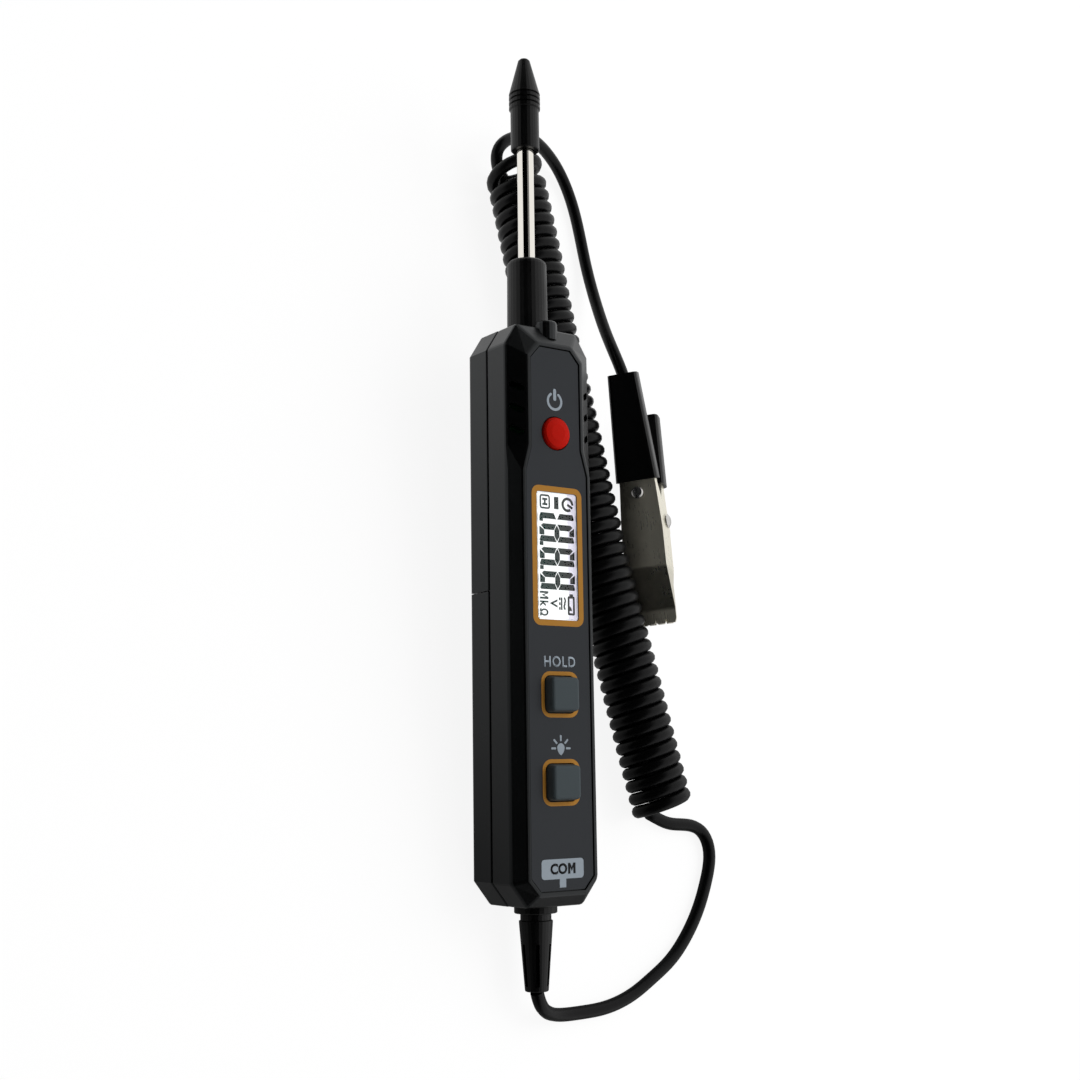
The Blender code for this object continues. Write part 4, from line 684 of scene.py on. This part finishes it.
# Probe and tail
# The probe is a bright nickel-plated rod in an insulating rubber sleeve, with a rubber cap that pulls off its
# tip. The strain relief at the tail is moulded in the same rubber, with a bloom on it here and there.
rubber = Finish("black_rubber", (0.0018, 0.0018, 0.0020), 0.36, Specular_IOR_Level=0.28)
bloom = rubber.noise(55.0, detail=3.0)
rubber.feed("Roughness", rubber.uneven(bloom, 0.33, 0.46))
rubber.bump(rubber.noise(4200.0), 0.22, 0.03 * MM)
rubber.cover(nodes["probe_sleeve"], nodes["tip_cap"], nodes["strain_relief"])

bright = Finish("bright_nickel", (0.83, 0.80, 0.74), 0.12, 1.0)
lines = bright.noise(1.0, vector=bright.stretched((9000.0, 120.0, 9000.0)))
bright.feed("Roughness", bright.uneven(lines, 0.05, 0.09))
bright.bump(lines, 0.03, 0.01 * MM)
bright.cover(nodes["probe_rod"])


# Crocodile clip
# Two jaws of pressed sheet, plated in satin nickel, on a rivet with a torsion spring, and with vinyl sleeves
# on their handles. A real jaw curves, so that its lip mirrors light and its nose the dark. Here that light
# and shade are painted into the base colour instead: a painted reflection towards the lip and painted shade
# away from it. The finish is also more mirror-like at the nose.
JAW_LEAN = radians(54.4)
# Across the jaw, the painted shade runs up to the first of these and the painted reflection starts from the
# second.
PAINTED_SHADE_EDGE = 35.0 * MM
PAINTED_LIGHT_EDGE = 42.0 * MM
PAINTED_EDGE_WOBBLE = 4.0 * MM
NOSE_FOOT = (-13.6 * MM, -14.6 * MM)
NOSE_TIP = (-26.8 * MM, -26.0 * MM)
FACE_MIRROR = 0.60
NOSE_MIRROR = 0.97

satin = Finish("satin_nickel", (0.66, 0.63, 0.54), 0.30, 0.62)
lines = satin.noise(1.0, detail=3.0, roughness=0.6, vector=satin.stretched((2500.0, 160.0, 2500.0)))
# A noise that varies the roughness and wobbles the edge between the painted shade and the painted reflection.
tarnish_and_shade_wobble = satin.noise(140.0, detail=3.0, roughness=0.6)
satin.feed("Roughness", satin.uneven(lines * 0.5 + tarnish_and_shade_wobble * 0.5, 0.24, 0.36))
across = satin.along("X") * cos(JAW_LEAN) + satin.along("Z") * sin(JAW_LEAN) + tarnish_and_shade_wobble * PAINTED_EDGE_WOBBLE
nose = satin.between(satin.along("Y"), *NOSE_FOOT) * satin.between(satin.along("Y"), *NOSE_TIP)
satin.feed("Metallic", satin.between(nose, 0.0, 1.0, FACE_MIRROR, NOSE_MIRROR))
# Painted reflection and painted shade in the base colour: darker on one side of the jaw, lighter towards the
# lip.
painted_reflection = satin.between(across, PAINTED_SHADE_EDGE, PAINTED_LIGHT_EDGE)
satin.feed("Base Color", satin.blend(painted_reflection, (0.20, 0.19, 0.155), (0.88, 0.84, 0.70)))
satin.bump(lines, 0.03, 0.02 * MM)
satin.cover(nodes["clip_front_jaw"], nodes["clip_rear_jaw"])

steel = Finish("zinc_steel", (0.60, 0.59, 0.57), 0.28, 1.0)
steel.feed("Roughness", steel.uneven(steel.noise(800.0, detail=3.0), 0.2, 0.36))
steel.cover(nodes["clip_rivet"], nodes["clip_spring"], nodes["clip_terminal_screw"])

sleeve_vinyl = Finish("sleeve_vinyl", (0.0025, 0.0025, 0.0027), 0.32, Specular_IOR_Level=0.45)
sleeve_vinyl.feed("Roughness", sleeve_vinyl.uneven(sleeve_vinyl.noise(70.0, detail=3.0), 0.28, 0.42))
sleeve_vinyl.bump(sleeve_vinyl.noise(2600.0), 0.15, 0.03 * MM)
sleeve_vinyl.cover(nodes["clip_front_grip"], nodes["clip_rear_grip"])


# Inner pieces
# A green board carries the switches and the buzzer, and rubber strips join it to the display's glass over the
# light guide. Two cells lie in a moulded frame between zinc-plated contacts. The screws are zinc-plated too,
# and the torch lamp is clear.
TRACK_EDGE = 0.06
CELL_HEAD = -45.0 * MM

board = Finish("green_board", (0.012, 0.09, 0.035), 0.35)
tracks = board.node("ShaderNodeTexVoronoi", {"feature": "DISTANCE_TO_EDGE"},
                    {"Vector": board.place(), "Scale": 350.0})
board.feed("Base Color", board.blend(tracks > TRACK_EDGE, (0.03, 0.17, 0.06), (0.01, 0.075, 0.03)))
board.cover(nodes["circuit_board"])

dark = Finish("dark_moulding", (0.012, 0.012, 0.013), 0.5)
dark.bump(dark.noise(5000.0), 0.3, 0.03 * MM)
dark.cover(nodes["buzzer"], nodes["battery_frame"], nodes["hold_switch"], nodes["light_switch"],
           nodes["power_switch"])

strip = Finish("contact_rubber", (0.03, 0.03, 0.032), 0.7)
stripes = strip.node("ShaderNodeTexWave", {"bands_direction": "Y"},
                     {"Vector": strip.place(), "Scale": 600.0}, "Fac")
strip.feed("Base Color", strip.blend(stripes, (0.02, 0.02, 0.02), (0.08, 0.08, 0.08)))
strip.cover(nodes["contact_strip_left"], nodes["contact_strip_right"])

guide = Finish("light_guide", (0.86, 0.88, 0.90), 0.35)
guide.bump(guide.noise(1500.0), 0.2, 0.03 * MM)
guide.cover(nodes["lcd_light_guide"])

wrap = Finish("cell_wrap", (0.03, 0.045, 0.10), 0.3)
wrap.feed("Base Color", wrap.blend(wrap.along("Y") > CELL_HEAD, (0.55, 0.30, 0.07), (0.02, 0.022, 0.026)))
wrap.cover(nodes["battery_left"], nodes["battery_right"])

steel.cover(nodes["contact_spring_left"], nodes["contact_spring_right"], nodes["contact_plate"],
            nodes["case_screw_left"], nodes["case_screw_right"], nodes["cover_screw_left"],
            nodes["cover_screw_right"])

lens = Finish("lamp_lens", (0.86, 0.88, 0.90), 0.08, Transmission_Weight=0.8, IOR=1.45)
lens.bump(lens.noise(900.0), 0.1, 0.03 * MM)
lens.cover(nodes["torch_lamp"])


# Table
# A sheet of white paper, which the camera sees as plain white with a trace of shadow. In mirrors its glow
# fades towards the tail. To all other light it is ordinary paper.
TABLE_SIZE = 3.0
WHITE = (1.0, 1.0, 1.0, 1.0)
GLOW = 0.90
SHADOW_SHARE = 0.14
GLOW_HEAD = 90 * MM
GLOW_TAIL = -110 * MM
GLOW_LOST = 0.85

table_mesh = bpy.data.meshes.new("table")
table_shape = bmesh.new()
bmesh.ops.create_grid(table_shape, x_segments=1, y_segments=1, size=TABLE_SIZE)
table_shape.to_mesh(table_mesh)
table_shape.free()
table = bpy.data.objects.new("table", table_mesh)
scene.collection.objects.link(table)

paper = Finish("white_table", (0.80, 0.80, 0.80), 0.7, Specular_IOR_Level=0.0)
ray = {kind: paper.node("ShaderNodeLightPath", {}, {}, f"Is {kind} Ray")
       for kind in ("Camera", "Glossy", "Transmission")}
dimmed = ray["Glossy"] * paper.between(paper.along("Y"), GLOW_HEAD, GLOW_TAIL, 0.0, GLOW_LOST)
glow = paper.node("ShaderNodeEmission", {}, {"Color": WHITE, "Strength": GLOW * (1.0 - dimmed)})
pale = (SHADOW_SHARE, SHADOW_SHARE, SHADOW_SHARE, 1.0)
shadowed = paper.node("ShaderNodeBsdfDiffuse", {}, {"Color": pale})
bright_sheet = paper.node("ShaderNodeAddShader", {}, {0: glow, 1: shadowed})
seen = ray["Camera"] + ray["Glossy"] + ray["Transmission"]
plain_sheet = Signal(paper, paper.shader.outputs[0])
mixed = paper.node("ShaderNodeMixShader", {}, {0: seen, 1: plain_sheet, 2: bright_sheet})
paper.tree.links.new(mixed.socket, paper.tree.nodes["Material Output"].inputs["Surface"])
paper.cover(table)


# Light
# A white sky and a soft lamp on the right. A black screen on the camera's side hangs from overhead to a
# little above the table, and towards the tail down to it. It darkens the faces that look that way: mirrored
# light meets all of it, scattered light nine tenths, and the camera none.
SCREEN_TOP = radians(-4)
SCREEN_FOOT = radians(80)
TOP_SOFTNESS = radians(5)
FOOT_SOFTNESS = radians(7)
HEAD_SIDE = 0.35
TAIL_SIDE = -0.15
SCATTERED_SHARE = 0.9

world = bpy.data.worlds.new("studio")
scene.world = world
world.use_nodes = True
world.cycles.sampling_method = "NONE"


class Sky(Finish):
    """The world's node tree, built with the same calls as a finish."""

    def __init__(self, light):
        self.tree = light.node_tree
        self.shader = self.tree.nodes["Background"]
        self.shader.inputs["Color"].default_value = WHITE


sky = Sky(world)
towards = sky.node("ShaderNodeTexCoord", {}, {}, "Generated")
parts = {axis: sky.node("ShaderNodeSeparateXYZ", {}, {"Vector": towards}, axis) for axis in "XYZ"}
lean = sky.node("ShaderNodeMath", {"operation": "ARCTAN2"}, {0: parts["X"] * -1.0, 1: parts["Z"]})


def step_up(angle, softness):
    """Rises from nought to one where a direction leans past the angle."""
    return sky.node("ShaderNodeMapRange", {"interpolation_type": "SMOOTHSTEP"},
                    {0: lean, 1: angle - softness, 2: angle + softness})


past_foot = step_up(SCREEN_FOOT, FOOT_SOFTNESS)
tail_side = sky.between(parts["Y"], HEAD_SIDE, TAIL_SIDE)
screen = step_up(SCREEN_TOP, TOP_SOFTNESS) * (1.0 - past_foot * (1.0 - tail_side))
mirrored = sky.node("ShaderNodeLightPath", {}, {}, "Is Glossy Ray")
scattered = sky.node("ShaderNodeLightPath", {}, {}, "Is Diffuse Ray")
sky.feed("Strength", 1.0 - screen * (mirrored + scattered * SCATTERED_SHARE))

SOFTBOX_PLACE = Vector((0.55, 0.15, 0.60))
SOFTBOX_SIZE = 0.6
SOFTBOX_WATTS = 2.7
softbox_data = bpy.data.lights.new("softbox", "AREA")
softbox_data.size = SOFTBOX_SIZE
softbox_data.energy = SOFTBOX_WATTS
softbox = bpy.data.objects.new("softbox", softbox_data)
softbox.location = SOFTBOX_PLACE
softbox.rotation_euler = (-SOFTBOX_PLACE).to_track_quat("-Z", "Y").to_euler()
softbox.visible_camera = False
softbox.visible_glossy = False
scene.collection.objects.link(softbox)
